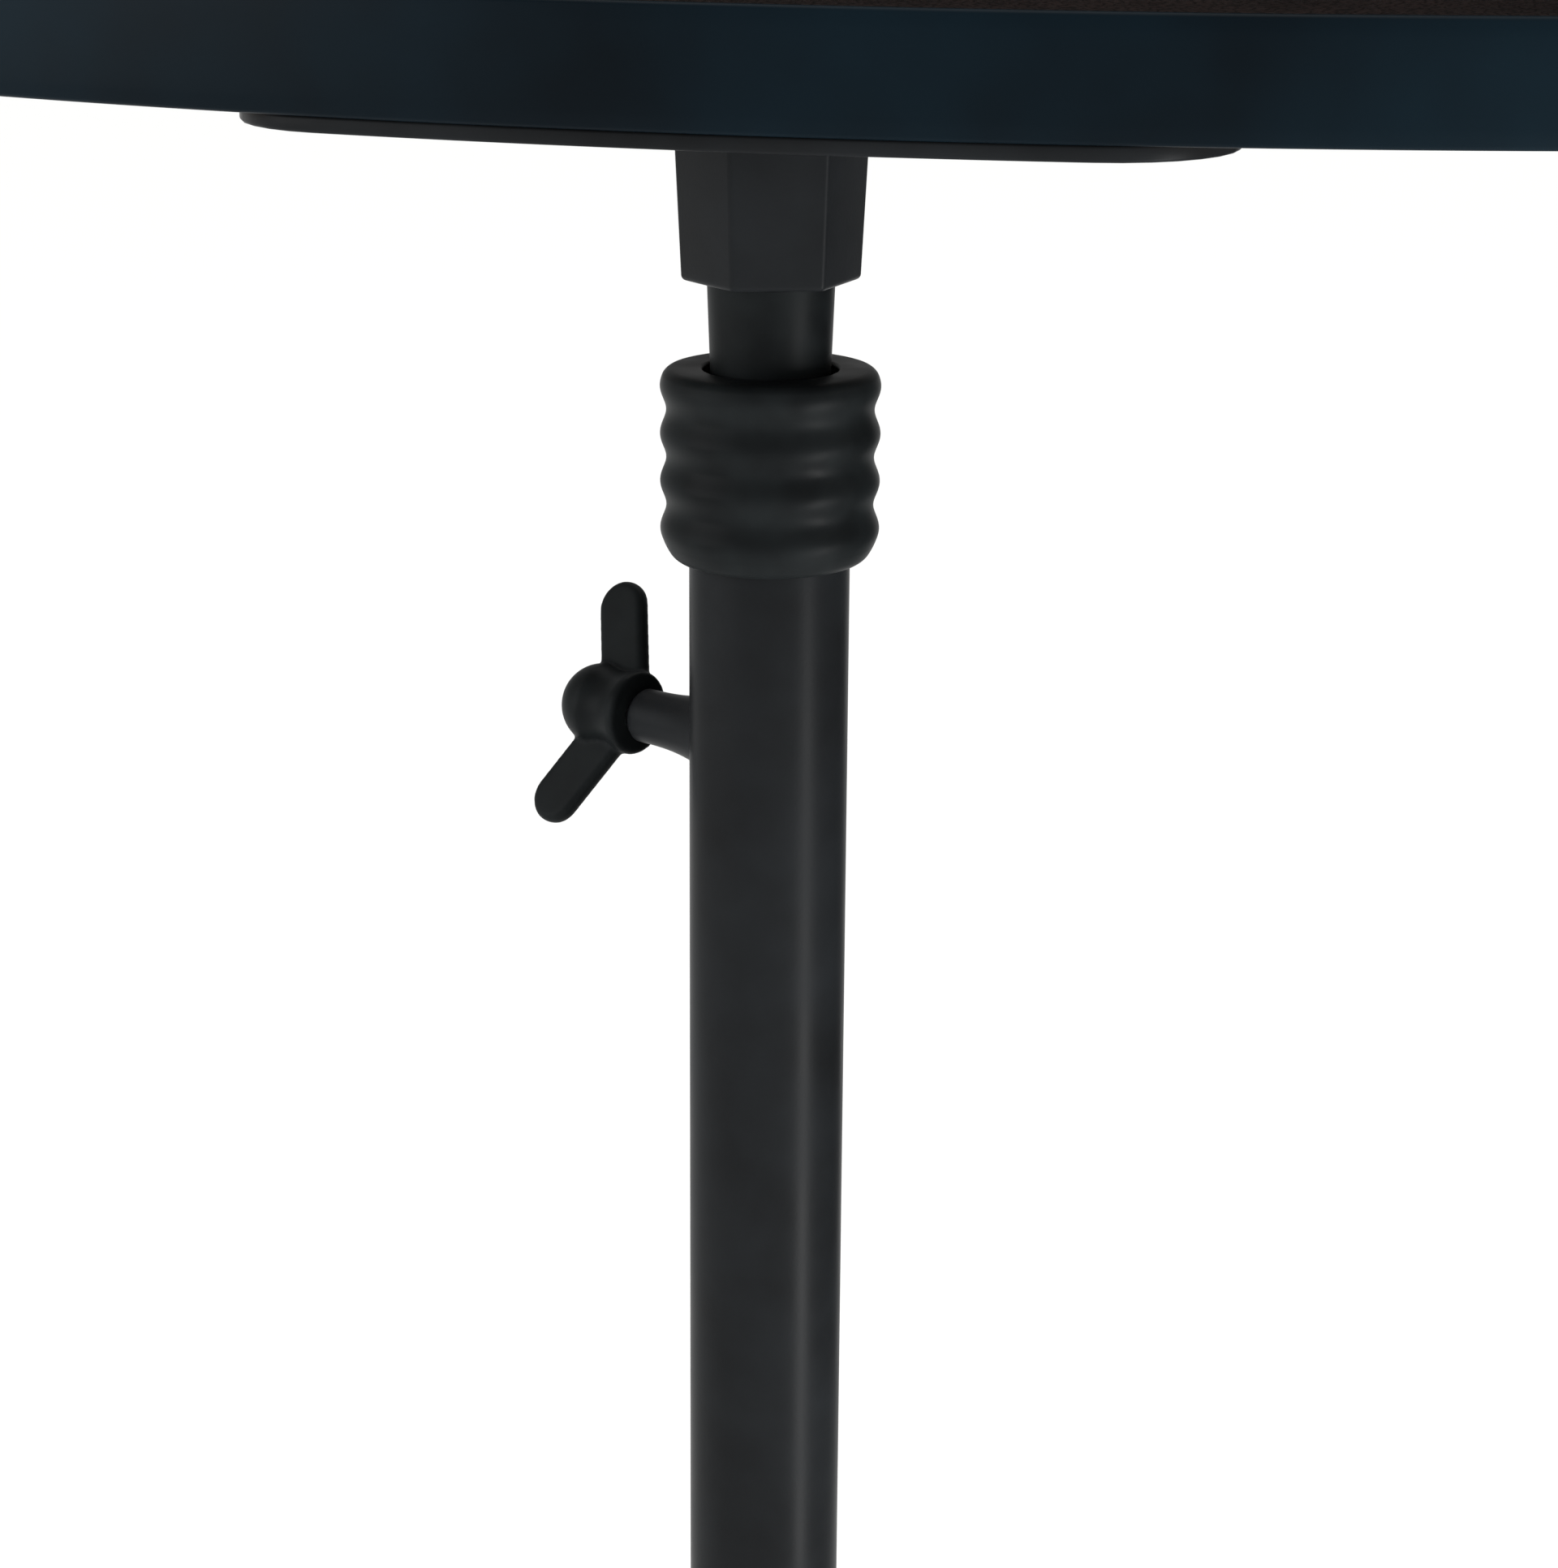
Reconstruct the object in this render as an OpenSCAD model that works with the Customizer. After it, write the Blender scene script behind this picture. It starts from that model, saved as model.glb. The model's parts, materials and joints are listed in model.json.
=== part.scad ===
// Height-adjustable music stand: a bow-fronted shelf with a tilting rest, on a telescopic post
// and a folding tripod. The origin is on the floor, on the post's axis. The player stands at -Y.

/* [Shelf] */
// Radius of the bowed front edge
bow_r = 430; // [400:5:520]
// Depth of the shelf at its middle
shelf_depth = 100; // [84:1:120]
// Distance from the post's axis to the front of the bow
shelf_reach = 50; // [44:1:60]
// Radius of the shelf's rounded ends
shelf_end_r = 18; // [14:0.5:22]
// Thickness of the wooden board
board_t = 15.5; // [12.5:0.5:19]
// Thickness of the mat glued to the board
mat_t = 1.5; // [1:0.1:2]
// Height of the edge band above the mat
lip_h = 0.5; // [0.3:0.1:2]
// Wall of the edge band
band_t = 2.5; // [2:0.1:3.5]

/* [Rest panel] */
// Width of the panel
panel_w = 480; // [400:5:560]
// Height of the panel at its middle
panel_h = 330; // [275:5:396]
// Radius of the panel's crowned top edge
crown_r = 1150; // [950:10:1400]
// Radius of the panel's top corners
panel_top_r = 26; // [21:1:32]
// Radius of the panel's bottom corners
panel_foot_r = 12; // [10:1:15]
// Thickness of the panel's board
panel_t = 5; // [4:0.5:6]
// Thickness of the leatherette glued to the panel
skin_t = 1.2; // [1:0.1:1.5]
// Width of the trim round the panel
trim_t = 2.5; // [2:0.1:3]
// How far the panel leans back from upright
panel_lean = 20; // [10:1:30]

/* [Panel hinges] */
// Distance of each hinge from the middle of the shelf
hinge_x = 130; // [108:1:156]
// Distance of the tilt axis behind the shelf
hinge_back = 9; // [9:0.5:11]
// Radius of the hinge's round ends
hinge_r = 7; // [6:0.25:7.5]
// Sheet thickness of the brackets and ears
hinge_t = 2; // [1.6:0.1:2.4]
// Radius of the hinge rivets
hinge_pin_r = 2.5; // [2:0.1:3]
// Thickness of the friction washers
washer_t = 1; // [0.8:0.1:1.2]
// Length of a bracket or ear's fixing flange
flange_l = 30; // [26:1:36]
// Width of a bracket or ear's fixing flange
flange_w = 22; // [18:1:26]

/* [Hub] */
// Width of the hexagonal hub over its corners, at the top
hub_top_w = 30; // [28:0.1:36]
// Width of the hexagonal hub over its corners, at the bottom
hub_foot_w = 27.6; // [26:0.1:33]
// Height of the hub
hub_h = 25; // [20:0.5:30]
// Turn of the hub's flats from the shelf's front
hub_turn = 19; // [0:1:60]
// Thickness of the hub above the mast's end
hub_roof = 4; // [3:0.5:5]
// Thickness of the steel mounting plate
plate_t = 2.4; // [2:0.1:3]
// Width of the mounting plate
plate_w = 146; // [120:1:175]
// Distance of the mounting plate's front edge behind the shelf's front
plate_set = 1.5; // [1:0.1:8]
// Depth of the mounting plate
plate_depth = 84; // [78:1:90]
// Radius of the mounting plate's corners
plate_corner_r = 20; // [16:0.5:24]

/* [Mast] */
// Outer radius of the inner tube
mast_r = 8; // [7:0.1:8.2]
// Wall of the inner tube
mast_wall = 1.2; // [1:0.1:1.4]
// Height of the inner tube's lower end above the outer tube's, with the mast down
mast_clear = 80.4; // [40:0.1:180]
// Wall of the neck sleeve at its top
neck_top_wall = 1.75; // [1.5:0.05:2]
// Wall of the neck sleeve at its lower end
neck_foot_wall = 1; // [0.9:0.05:1.4]
// Length of neck that shows between the hub and the collar
neck_h = 13.4; // [11:0.1:16]
// Length of neck that sits in the collar
neck_sunk = 8; // [6:0.5:9]
// Length of the glide on the inner tube's lower end
glide_l = 25; // [20:1:30]

/* [Post] */
// Outer radius of the outer tube
tube_r = 12.5; // [12:0.1:13.5]
// Wall of the outer tube
tube_wall = 1.2; // [1:0.1:1.5]
// Height of the collar's top face above the floor
collar_top = 620; // [520:5:680]
// Length of outer tube below the runner when the legs are folded
tube_spare = 2.8; // [2.4:0.1:3.2]
// Height of the collar
collar_h = 30; // [26:0.5:36]
// Outer radius of the collar's ribs
rib_r = 16.95; // [16.4:0.05:20]
// Depth of the grooves between the ribs
groove = 0.95; // [0.6:0.05:1.4]
// Number of ribs on the collar
ribs = 4; // [3:1:4]
// Distance from one rib to the next
rib_pitch = 7.4; // [6.2:0.1:7.8]
// Distance of the first rib's crest below the collar's top
rib_start = 2.7; // [2:0.1:3.2]
// Length of the guide bush under the collar
bush_l = 34; // [28:1:38]

/* [Clamp screws] */
// Distance of the upper clamp screw below the collar
clamp_drop = 30.4; // [26:0.1:36]
// Direction of the upper clamp screw round the post
clamp_az = 155; // [120:5:180]
// Direction of the runner's clamp screw round the post
runner_az = 180; // [170:5:190]
// Radius of the clamp screws' threaded shank
stud_r = 2.9; // [2.5:0.1:3.1]
// Length of the boss that the upper screw runs in, from the tube
boss_l = 14; // [11:0.5:17]
// Radius of a wing screw's round head
knob_r = 6.9; // [6:0.1:7.4]
// Length of the straight part of the head
knob_l = 7.9; // [6.6:0.1:9]
// Width of a wing
wing_w = 8.7; // [7:0.1:9.4]
// Thickness of a wing
wing_t = 2.9; // [2.4:0.1:3.5]
// Distance from the head's axis to the centre of a wing's round tip
wing_reach = 18.4; // [15:0.1:19]
// Lean of the wings away from the post
wing_lean = 25; // [18:1:30]
// Turn of the upper wing screw about its own axis
wing_turn = 30; // [0:1:180]

/* [Tripod] */
// Angle of the open legs from upright
leg_open = 48; // [44:0.5:50]
// Angle of the folded legs from upright
leg_shut = 5; // [5:0.5:7]
// Length of a leg from its pivot to the foot's centre
leg_l = 270; // [240:1:290]
// Width of the leg's channel section
leg_w = 14; // [13:0.1:16]
// Depth of the leg's channel section
leg_d = 12; // [11.6:0.1:12.4]
// Sheet thickness of the channel
leg_t = 1.2; // [1:0.1:1.4]
// Distance of the leg and brace pivots from the post's axis
pivot_r = 24; // [24:0.1:26]
// Distance along a leg to its brace, which is also the brace's length
brace_l = 82; // [70:1:82]
// Width of a brace
brace_w = 8; // [7:0.1:8.4]
// Thickness of a brace
brace_t = 3; // [2.4:0.1:3.4]
// Radius of the tripod's pivot pins
pin_r = 2; // [1.6:0.1:2.2]
// Height of the crown that the legs hang from
crown_h = 26; // [22:1:32]
// Height of the sliding runner
runner_h = 18; // [15:0.5:20]
// Wall of the runner and of the crown's ring
ring_wall = 4; // [3.4:0.1:4.5]
// Radius of the rubber feet
foot_r = 10; // [9:0.1:12]
// Depth worn flat under each foot
foot_flat = 1.5; // [1:0.1:2]

/* [Hidden] */
$fn = 96;

// Clearances: a running fit, a gap between faces that pass each other, the room round what
// turns or tilts, and an overcut
fit = 0.05;
gap = 0.3;
room = 0.7;
panel_room = 3;
over = 1;

// Heights of the stack from the collar up to the shelf
hub_z = collar_top + neck_h;
plate_z = hub_z + hub_h;
shelf_z = plate_z + plate_t;
band_h = board_t + mat_t + lip_h;

// The shelf's outline: one bow, two rounded ends and a straight back
bow_y = bow_r - shelf_reach;
shelf_back = shelf_depth - shelf_reach;
end_y = shelf_back - shelf_end_r;
end_x = sqrt(pow(bow_r - shelf_end_r, 2) - pow(bow_y - end_y, 2));

// The tilt axis of the panel, and the panel's place from it
hinge_y = shelf_back + hinge_back;
hinge_z = shelf_z + band_h / 2;
panel_lift = band_h / 2 + panel_room;
panel_face = hinge_back - panel_room;
panel_rear = skin_t + panel_t - panel_face;
ear_x = hinge_x + hinge_t + washer_t + 2 * fit;

// Screws, in shank radius, head radius and head height
screw_r = 1.6;
head_r = 3.4;
head_h = 1.6;
board_bite = 10;
panel_bite = 4;
screw_inset = 7;
plate_inset = 14;
hub_screw_r = 1.4;
hub_screw_at = (hub_top_w / 2 + mast_r) / 2 - 0.4;
sink_h = 1.6;

// Heights on the post, which the legs carry: leg and brace make two equal sides of a triangle
crown_z = leg_l * cos(leg_open) + foot_r - foot_flat;
runner_z = crown_z - 2 * brace_l * cos(leg_open);
runner_low = crown_z - 2 * brace_l * cos(leg_shut);
tube_foot = runner_low - runner_h / 2 - tube_spare;
collar_floor = 3;
tube_top = collar_top - neck_sunk - collar_floor;
tube_bore = tube_r - tube_wall;
clamp_z = collar_top - collar_h - clamp_drop;
mast_top = plate_z - hub_roof;
mast_foot = tube_foot + mast_clear;
mast_l = mast_top - mast_foot;
neck_top_r = mast_r + neck_top_wall;
neck_foot_r = mast_r + neck_foot_wall;
mast_bore = mast_r - mast_wall;
glide_floor = 3;
plug_h = 12;
flange_h = 4;

// Clamp screws, in distances from the post's axis
boss_end = tube_r + boss_l;
boss_r = stud_r + 1.5;
boss_flare = 0.8;
pad_start = mast_r + 2 * fit;
pad_end = tube_r - tube_wall / 4;
head_start = boss_end + room;
wing_root = wing_t;
ring_r = tube_r + 2 * fit + ring_wall;
insert_r = stud_r + 1.1;
runner_boss_r = insert_r + 2.2;
runner_boss_end = ring_r + 6;
runner_head_start = runner_boss_end + room;
runner_pad_start = tube_r + 2 * fit;
runner_pad_end = runner_pad_start + 4;

// The tripod's sections and lugs
LEGS = [0, 120, 240];
channel_in = leg_w / 2 - leg_t;
web_in = leg_d / 2 - leg_t;
tongue_r = web_in - 0.4;
crown_ring_r = pivot_r - leg_d / 2 - gap - 0.2;
lug_t = 3;
lug_r = 5;
rivet_head_r = 3.4;
rivet_head_h = 1.2;

STEEL = "#22262a";
BLACK = "#1c1f21";
BAND = "#16212b";
LEATHER = "#211c1b";
BOARD = "#8a6a48";
NYLON = "#d8d4c8";
ZINC = "#9a9ea2";
BRASS = "#b08d46";
RUBBER = "#141414";

// What lies outside a corner's arc, between two directions from the arc's centre
module corner_waste(centre, from, to, r, h) {
  reach = bow_r;
  steps = [from, (from + to) / 2, to];
  translate([centre.x, centre.y, -over])
    difference() {
      linear_extrude(h + 2 * over)
        polygon([[0, 0], for (a = steps) reach * [cos(a), sin(a)]]);
      translate([0, 0, -over])
        cylinder(r = r, h = h + 4 * over);
    }
}

// The shelf's outline as a slab, drawn in from the edge by inset
module shelf_slab(inset, h) {
  difference() {
    translate([0, bow_y, 0])
      cylinder(r = bow_r - inset, h = h, $fn = 360);
    translate([-bow_r, shelf_back - inset, -over])
      cube([2 * bow_r, 2 * bow_r, h + 2 * over]);
    for (side = [0, 1])
      mirror([side, 0, 0])
        corner_waste([end_x, end_y], atan2(end_y - bow_y, end_x), 90, shelf_end_r - inset, h);
  }
}

// A slab with a bowed front, straight sides and back, and rounded corners
module bowed_slab(r, centre_y, w, back_y, front_r, back_r, inset, h) {
  half = w / 2;
  front_x = half - front_r;
  front_y = centre_y - sqrt(pow(r - front_r, 2) - pow(front_x, 2));
  difference() {
    intersection() {
      translate([0, centre_y, 0])
        cylinder(r = r - inset, h = h, $fn = 360);
      translate([inset - half, centre_y - r, 0])
        cube([w - 2 * inset, back_y - inset - centre_y + r, h]);
    }
    for (side = [0, 1])
      mirror([side, 0, 0]) {
        corner_waste([front_x, front_y], atan2(front_y - centre_y, front_x), 0, front_r - inset, h);
        corner_waste([half - back_r, back_y - back_r], 0, 90, back_r - inset, h);
      }
  }
}

// A pan-head screw that drives towards +Z, with its head under the origin
module pan_screw(bite) {
  cylinder(r = screw_r, h = bite);
  translate([0, 0, -head_h])
    cylinder(r = head_r, h = head_h);
}

// A cylinder along Y, centred on the origin
module cross_pin(r, l) {
  rotate([90, 0, 0])
    cylinder(r = r, h = l, center = true);
}

// A rivet along Y with a head at each end of its grip
module rivet(r, grip) {
  cross_pin(r, grip);
  for (side = [-1, 1])
    translate([0, side * (grip + rivet_head_h) / 2, 0])
      cross_pin(rivet_head_r, rivet_head_h);
}

// Puts a piece that is drawn along +X onto the post, at a direction and a height
module on_post(az, z) {
  translate([0, 0, z])
    rotate([0, 0, az])
      children();
}

// A cylinder along +X, between two distances from the post's axis
module spoke(r, from, to) {
  translate([from, 0, 0])
    rotate([0, 90, 0])
      cylinder(r = r, h = to - from);
}

// Places of the mounting plate's screws, on one side
PLATE_SCREWS = [
  [plate_w / 2 - plate_inset, plate_depth - shelf_reach - plate_inset],
  [plate_w / 2 - plate_inset - over, plate_inset + screw_inset + plate_set - shelf_reach]
];
// Places of a bracket's screws
BRACKET_SCREWS = [
  [hinge_x - screw_inset, shelf_back - screw_inset],
  [hinge_x - flange_w / 2 - head_r, shelf_back - flange_l + screw_inset]
];
// Places of an ear's screws, across the panel and up it from the axis
EAR_SCREWS = [
  [ear_x + flange_w - screw_inset, panel_lift + trim_t + screw_inset],
  [ear_x + flange_w - screw_inset, panel_lift + trim_t + flange_l - screw_inset]
];

// Shows a piece on both sides of the shelf
module both_sides() {
  for (side = [0, 1])
    mirror([side, 0, 0])
      children();
}

module shelf_board() {
  color(BOARD)
    difference() {
      translate([0, 0, shelf_z])
        shelf_slab(band_t, board_t);
      both_sides()
        for (p = concat(PLATE_SCREWS, BRACKET_SCREWS))
          translate([p.x, p.y, shelf_z - over])
            cylinder(r = screw_r, h = board_bite + over);
    }
}

module shelf_mat() {
  color(LEATHER)
    translate([0, 0, shelf_z + board_t])
      shelf_slab(band_t, mat_t);
}

// The band runs round the front and the ends, and stops at the back
module fascia_band() {
  color(BAND)
    translate([0, 0, shelf_z])
      difference() {
        shelf_slab(0, band_h);
        translate([0, 0, -over])
          shelf_slab(band_t, band_h + 2 * over);
        translate([-end_x, end_y, -over])
          cube([2 * end_x, shelf_end_r + over, band_h + 2 * over]);
      }
}

module mounting_plate() {
  color(STEEL)
    difference() {
      translate([0, 0, plate_z])
        bowed_slab(bow_r - plate_set, bow_y, plate_w, plate_depth - shelf_reach,
                   plate_corner_r, plate_corner_r, 0, plate_t);
      both_sides()
        for (p = PLATE_SCREWS)
          translate([p.x, p.y, plate_z - over])
            cylinder(r = screw_r, h = plate_t + 2 * over);
      hub_screw_set();
    }
}

module plate_screws() {
  color(ZINC)
    both_sides()
      for (p = PLATE_SCREWS)
        translate([p.x, p.y, plate_z])
          pan_screw(board_bite + plate_t);
}

// Three countersunk screws at alternate corners of the hub
module hub_screw_set() {
  for (a = [0, 120, 240])
    rotate([0, 0, a + hub_turn])
      translate([hub_screw_at, 0, shelf_z]) {
        translate([0, 0, -sink_h])
          cylinder(r1 = hub_screw_r, r2 = hub_screw_r + sink_h, h = sink_h);
        translate([0, 0, -board_bite])
          cylinder(r = hub_screw_r, h = board_bite);
      }
}

module hub_screws() {
  color(ZINC)
    hub_screw_set();
}

module hub() {
  color(STEEL)
    difference() {
      translate([0, 0, hub_z])
        rotate([0, 0, hub_turn])
          cylinder(d1 = hub_foot_w, d2 = hub_top_w, h = hub_h, $fn = 6);
      translate([0, 0, hub_z - over])
        cylinder(r = mast_r, h = mast_top - hub_z + over);
      hub_screw_set();
      hub_pin_hole();
    }
}

// A cross pin through the back of the hub and the mast
module hub_pin_hole() {
  on_post(90, hub_z + hub_h / 2)
    spoke(pin_r, mast_bore - over, hub_foot_w / 2 - over);
}

module hub_pin() {
  color(ZINC)
    hub_pin_hole();
}

module neck_sleeve() {
  h = neck_h + neck_sunk;
  color(BLACK)
    translate([0, 0, hub_z - h])
      difference() {
        cylinder(r1 = neck_foot_r, r2 = neck_top_r, h = h);
        translate([0, 0, -over])
          cylinder(r = mast_r, h = h + 2 * over);
      }
}

module mast_tube() {
  color(STEEL)
    difference() {
      translate([0, 0, mast_foot])
        cylinder(r = mast_r, h = mast_l);
      translate([0, 0, mast_foot - over])
        cylinder(r = mast_bore, h = mast_l + 2 * over);
      hub_pin_hole();
    }
}

// A plug that takes the screw holding the glide on
module mast_plug() {
  color(NYLON)
    difference() {
      translate([0, 0, mast_foot])
        cylinder(r = mast_bore, h = plug_h);
      translate([0, 0, mast_foot - over])
        cylinder(r = screw_r, h = plug_h);
    }
}

// The glide slides in the outer tube, and the mast turns in it
module glide() {
  color(NYLON)
    difference() {
      translate([0, 0, mast_foot - glide_floor - fit])
        cylinder(r = tube_bore - fit, h = glide_l);
      translate([0, 0, mast_foot - fit])
        cylinder(r = mast_r + fit, h = glide_l);
      translate([0, 0, mast_foot - glide_floor - over])
        cylinder(r = screw_r + fit, h = glide_floor + 2 * over);
    }
}

module glide_screw() {
  color(ZINC)
    translate([0, 0, mast_foot - glide_floor - 2 * fit])
      pan_screw(glide_floor + 2 * fit + plug_h - over);
}

// Puts a piece drawn upright, from the tilt axis, at the panel's lean
module leaned() {
  translate([0, hinge_y, hinge_z])
    rotate([-panel_lean, 0, 0])
      children();
}

// The panel's outline as a slab standing up from its bottom edge, its back at depth y
module panel_slab(inset, y, t) {
  translate([0, y, panel_lift])
    rotate([90, 0, 0])
      mirror([0, 1, 0])
        bowed_slab(crown_r, crown_r - panel_h, panel_w, 0, panel_top_r, panel_foot_r, inset, t);
}

module panel_board() {
  color(BOARD)
    leaned()
      difference() {
        panel_slab(trim_t, panel_rear, panel_t);
        both_sides()
          for (p = EAR_SCREWS)
            translate([p.x, panel_rear + over, p.y])
              rotate([90, 0, 0])
                cylinder(r = screw_r, h = panel_bite + over);
      }
}

module panel_skin() {
  color(LEATHER)
    leaned()
      panel_slab(trim_t, panel_rear - panel_t, skin_t);
}

module panel_trim() {
  t = panel_t + skin_t + lip_h;
  color(BAND)
    leaned()
      difference() {
        panel_slab(0, panel_rear, t);
        panel_slab(trim_t, panel_rear + over, t + 2 * over);
      }
}

// A sheet-metal tab across X, from the tilt axis out to a far edge
module tab_end(x) {
  translate([x, 0, 0])
    rotate([0, 90, 0])
      cylinder(r = hinge_r, h = hinge_t);
}

module hinge_bracket() {
  flange_z = shelf_z - hinge_t;
  color(STEEL)
    difference() {
      union() {
        translate([hinge_x + hinge_t - flange_w, shelf_back - flange_l, flange_z])
          cube([flange_w, flange_l + hinge_back, hinge_t]);
        translate([hinge_x, hinge_y - hinge_r, flange_z])
          cube([hinge_t, 2 * hinge_r, hinge_z - flange_z]);
        translate([0, hinge_y, hinge_z])
          tab_end(hinge_x);
      }
      translate([0, hinge_y, hinge_z])
        spoke(hinge_pin_r, hinge_x - over, hinge_x + hinge_t + over);
      for (p = BRACKET_SCREWS)
        translate([p.x, p.y, flange_z - over])
          cylinder(r = screw_r, h = hinge_t + 2 * over);
    }
}

module hinge_bracket_right() {
  hinge_bracket();
}

module hinge_bracket_left() {
  mirror([1, 0, 0])
    hinge_bracket();
}

module bracket_screws() {
  color(ZINC)
    both_sides()
      for (p = BRACKET_SCREWS)
        translate([p.x, p.y, shelf_z - hinge_t])
          pan_screw(board_bite + hinge_t);
}

module hinge_rivets() {
  head = 1.5;
  color(ZINC)
    both_sides()
      translate([0, hinge_y, hinge_z]) {
        spoke(hinge_pin_r, hinge_x - head, ear_x + hinge_t + fit + head);
        spoke(hinge_pin_r + 2, hinge_x - head, hinge_x);
        spoke(hinge_pin_r + 2, ear_x + hinge_t + fit, ear_x + hinge_t + fit + head);
      }
}

module friction_washers() {
  color(NYLON)
    both_sides()
      translate([0, hinge_y, hinge_z])
        difference() {
          spoke(hinge_r - 1, hinge_x + hinge_t, hinge_x + hinge_t + washer_t);
          spoke(hinge_pin_r, hinge_x, hinge_x + hinge_t + washer_t + over);
        }
}

module hinge_ear() {
  flange_foot = panel_lift + trim_t;
  color(STEEL)
    leaned()
      difference() {
        union() {
          tab_end(ear_x);
          translate([ear_x, panel_rear, 0])
            cube([hinge_t, hinge_r - panel_rear, flange_foot + flange_l]);
          translate([ear_x, panel_rear, flange_foot])
            cube([flange_w, hinge_t, flange_l]);
        }
        spoke(hinge_pin_r + fit, ear_x - over, ear_x + hinge_t + over);
        for (p = EAR_SCREWS)
          translate([p.x, panel_rear + hinge_t + over, p.y])
            rotate([90, 0, 0])
              cylinder(r = screw_r, h = hinge_t + 2 * over);
      }
}

module hinge_ear_right() {
  hinge_ear();
}

module hinge_ear_left() {
  mirror([1, 0, 0])
    hinge_ear();
}

module ear_screws() {
  color(ZINC)
    leaned()
      both_sides()
        for (p = EAR_SCREWS)
          translate([p.x, panel_rear + hinge_t, p.y])
            rotate([90, 0, 0])
              pan_screw(panel_bite + hinge_t);
}

module outer_tube() {
  color(STEEL)
    difference() {
      translate([0, 0, tube_foot])
        cylinder(r = tube_r, h = tube_top - tube_foot);
      translate([0, 0, tube_foot - over])
        cylinder(r = tube_bore, h = tube_top - tube_foot + 2 * over);
      on_post(clamp_az, clamp_z)
        spoke(stud_r + fit, mast_r, tube_r + over);
      crown_pin_hole();
    }
}

// The collar: rounded ribs with grooves between them, and an eased edge at each end
module collar() {
  steps = 10 * ribs;
  top_edge = 1.2;
  foot_edge = 3;
  last_groove = rib_start + (ribs - 0.5) * rib_pitch;
  function turn_at(d) = 360 * (min(d, last_groove) - rib_start) / rib_pitch;
  function wave(d) = rib_r - groove / 2 * (1 - cos(turn_at(d)));
  function eased(d, edge) = d < edge ? edge - sqrt(pow(edge, 2) - pow(edge - d, 2)) : 0;
  function side_r(d) = wave(d) - eased(d, top_edge) - eased(collar_h - d, foot_edge);
  depths = [for (i = [0:steps]) collar_h * i / steps];
  color(BLACK)
    translate([0, 0, collar_top - collar_h])
      difference() {
        rotate_extrude()
          polygon([[0, collar_h], for (d = depths) [side_r(d), collar_h - d], [0, 0]]);
        translate([0, 0, -over])
          cylinder(r = tube_r, h = tube_top - collar_top + collar_h + over);
        cylinder(r = mast_r + 2 * gap, h = collar_h + over);
        translate([0, 0, collar_h - neck_sunk - gap])
          cylinder(r = neck_top_r + room, h = neck_sunk + over);
      }
}

// The guide bush lines the top of the outer tube, and the mast runs in it
module guide_bush() {
  color(NYLON)
    translate([0, 0, tube_top - bush_l])
      difference() {
        cylinder(r = tube_bore, h = bush_l);
        translate([0, 0, -over])
          cylinder(r = mast_r + fit, h = bush_l + 2 * over);
      }
}

// A threaded boss welded to the tube, flared where it meets it
module clamp_boss() {
  color(STEEL)
    on_post(clamp_az, clamp_z)
      difference() {
        translate([tube_bore, 0, 0])
          rotate([0, 90, 0])
            cylinder(r1 = boss_r + boss_flare, r2 = boss_r, h = boss_end - tube_bore);
        spoke(stud_r + fit, 0, boss_end + over);
        cylinder(r = tube_r, h = 4 * boss_r, center = true);
      }
}

// A brass pad that presses the mast and doesn't turn
module pad(from, to) {
  color(BRASS)
    spoke(stud_r, from, to);
}

module stud(from, head_at) {
  color(ZINC)
    spoke(stud_r, from, head_at + knob_l);
}

// The moulded head of a wing screw: a domed barrel with two leaning wings
module wing_head(start, turn) {
  color(BLACK)
    translate([start, 0, 0])
      rotate([turn, 0, 0])
        difference() {
          union() {
            spoke(knob_r, 0, knob_l);
            translate([knob_l, 0, 0])
              sphere(r = knob_r);
            for (side = [0, 1])
              mirror([0, 0, side])
                translate([wing_root, 0, 0])
                  rotate([0, wing_lean, 0]) {
                    translate([-wing_w / 2, -wing_t / 2, 0])
                      cube([wing_w, wing_t, wing_reach]);
                    translate([0, 0, wing_reach])
                      cross_pin(wing_w / 2, wing_t);
                  }
          }
          spoke(stud_r, -knob_r - over, knob_l);
        }
}

module clamp_pad() {
  on_post(clamp_az, clamp_z)
    pad(pad_start, pad_end);
}

module clamp_stud() {
  on_post(clamp_az, clamp_z)
    stud(pad_end + fit, head_start);
}

module clamp_wing_head() {
  on_post(clamp_az, clamp_z)
    wing_head(head_start, wing_turn);
}

// The plug closes the tube's lower end
module tube_plug() {
  color(BLACK)
    translate([0, 0, tube_foot]) {
      cylinder(r = tube_bore, h = plug_h);
      translate([0, 0, -flange_h])
        cylinder(r = tube_r, h = flange_h);
    }
}

// The crown: a ring on the tube with a tongue for each leg
module leg_crown() {
  color(BLACK)
    difference() {
      union() {
        translate([0, 0, crown_z - crown_h / 2])
          cylinder(r = crown_ring_r, h = crown_h);
        for (a = LEGS)
          on_post(a, crown_z) {
            translate([tube_r, gap - channel_in, -tongue_r])
              cube([pivot_r - tube_r, 2 * (channel_in - gap), 2 * tongue_r]);
            translate([pivot_r, 0, 0])
              cross_pin(tongue_r, 2 * (channel_in - gap));
          }
      }
      translate([0, 0, crown_z - crown_h])
        cylinder(r = tube_r, h = 2 * crown_h);
      for (a = LEGS)
        on_post(a, crown_z)
          translate([pivot_r, 0, 0])
            cross_pin(pin_r, leg_w);
      crown_pin_hole();
    }
}

// A pin between two legs holds the crown on the tube
module crown_pin_hole() {
  on_post(LEGS[1] / 2, crown_z)
    spoke(pin_r, tube_bore - over, crown_ring_r);
}

module crown_pin() {
  color(ZINC)
    crown_pin_hole();
}

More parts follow.
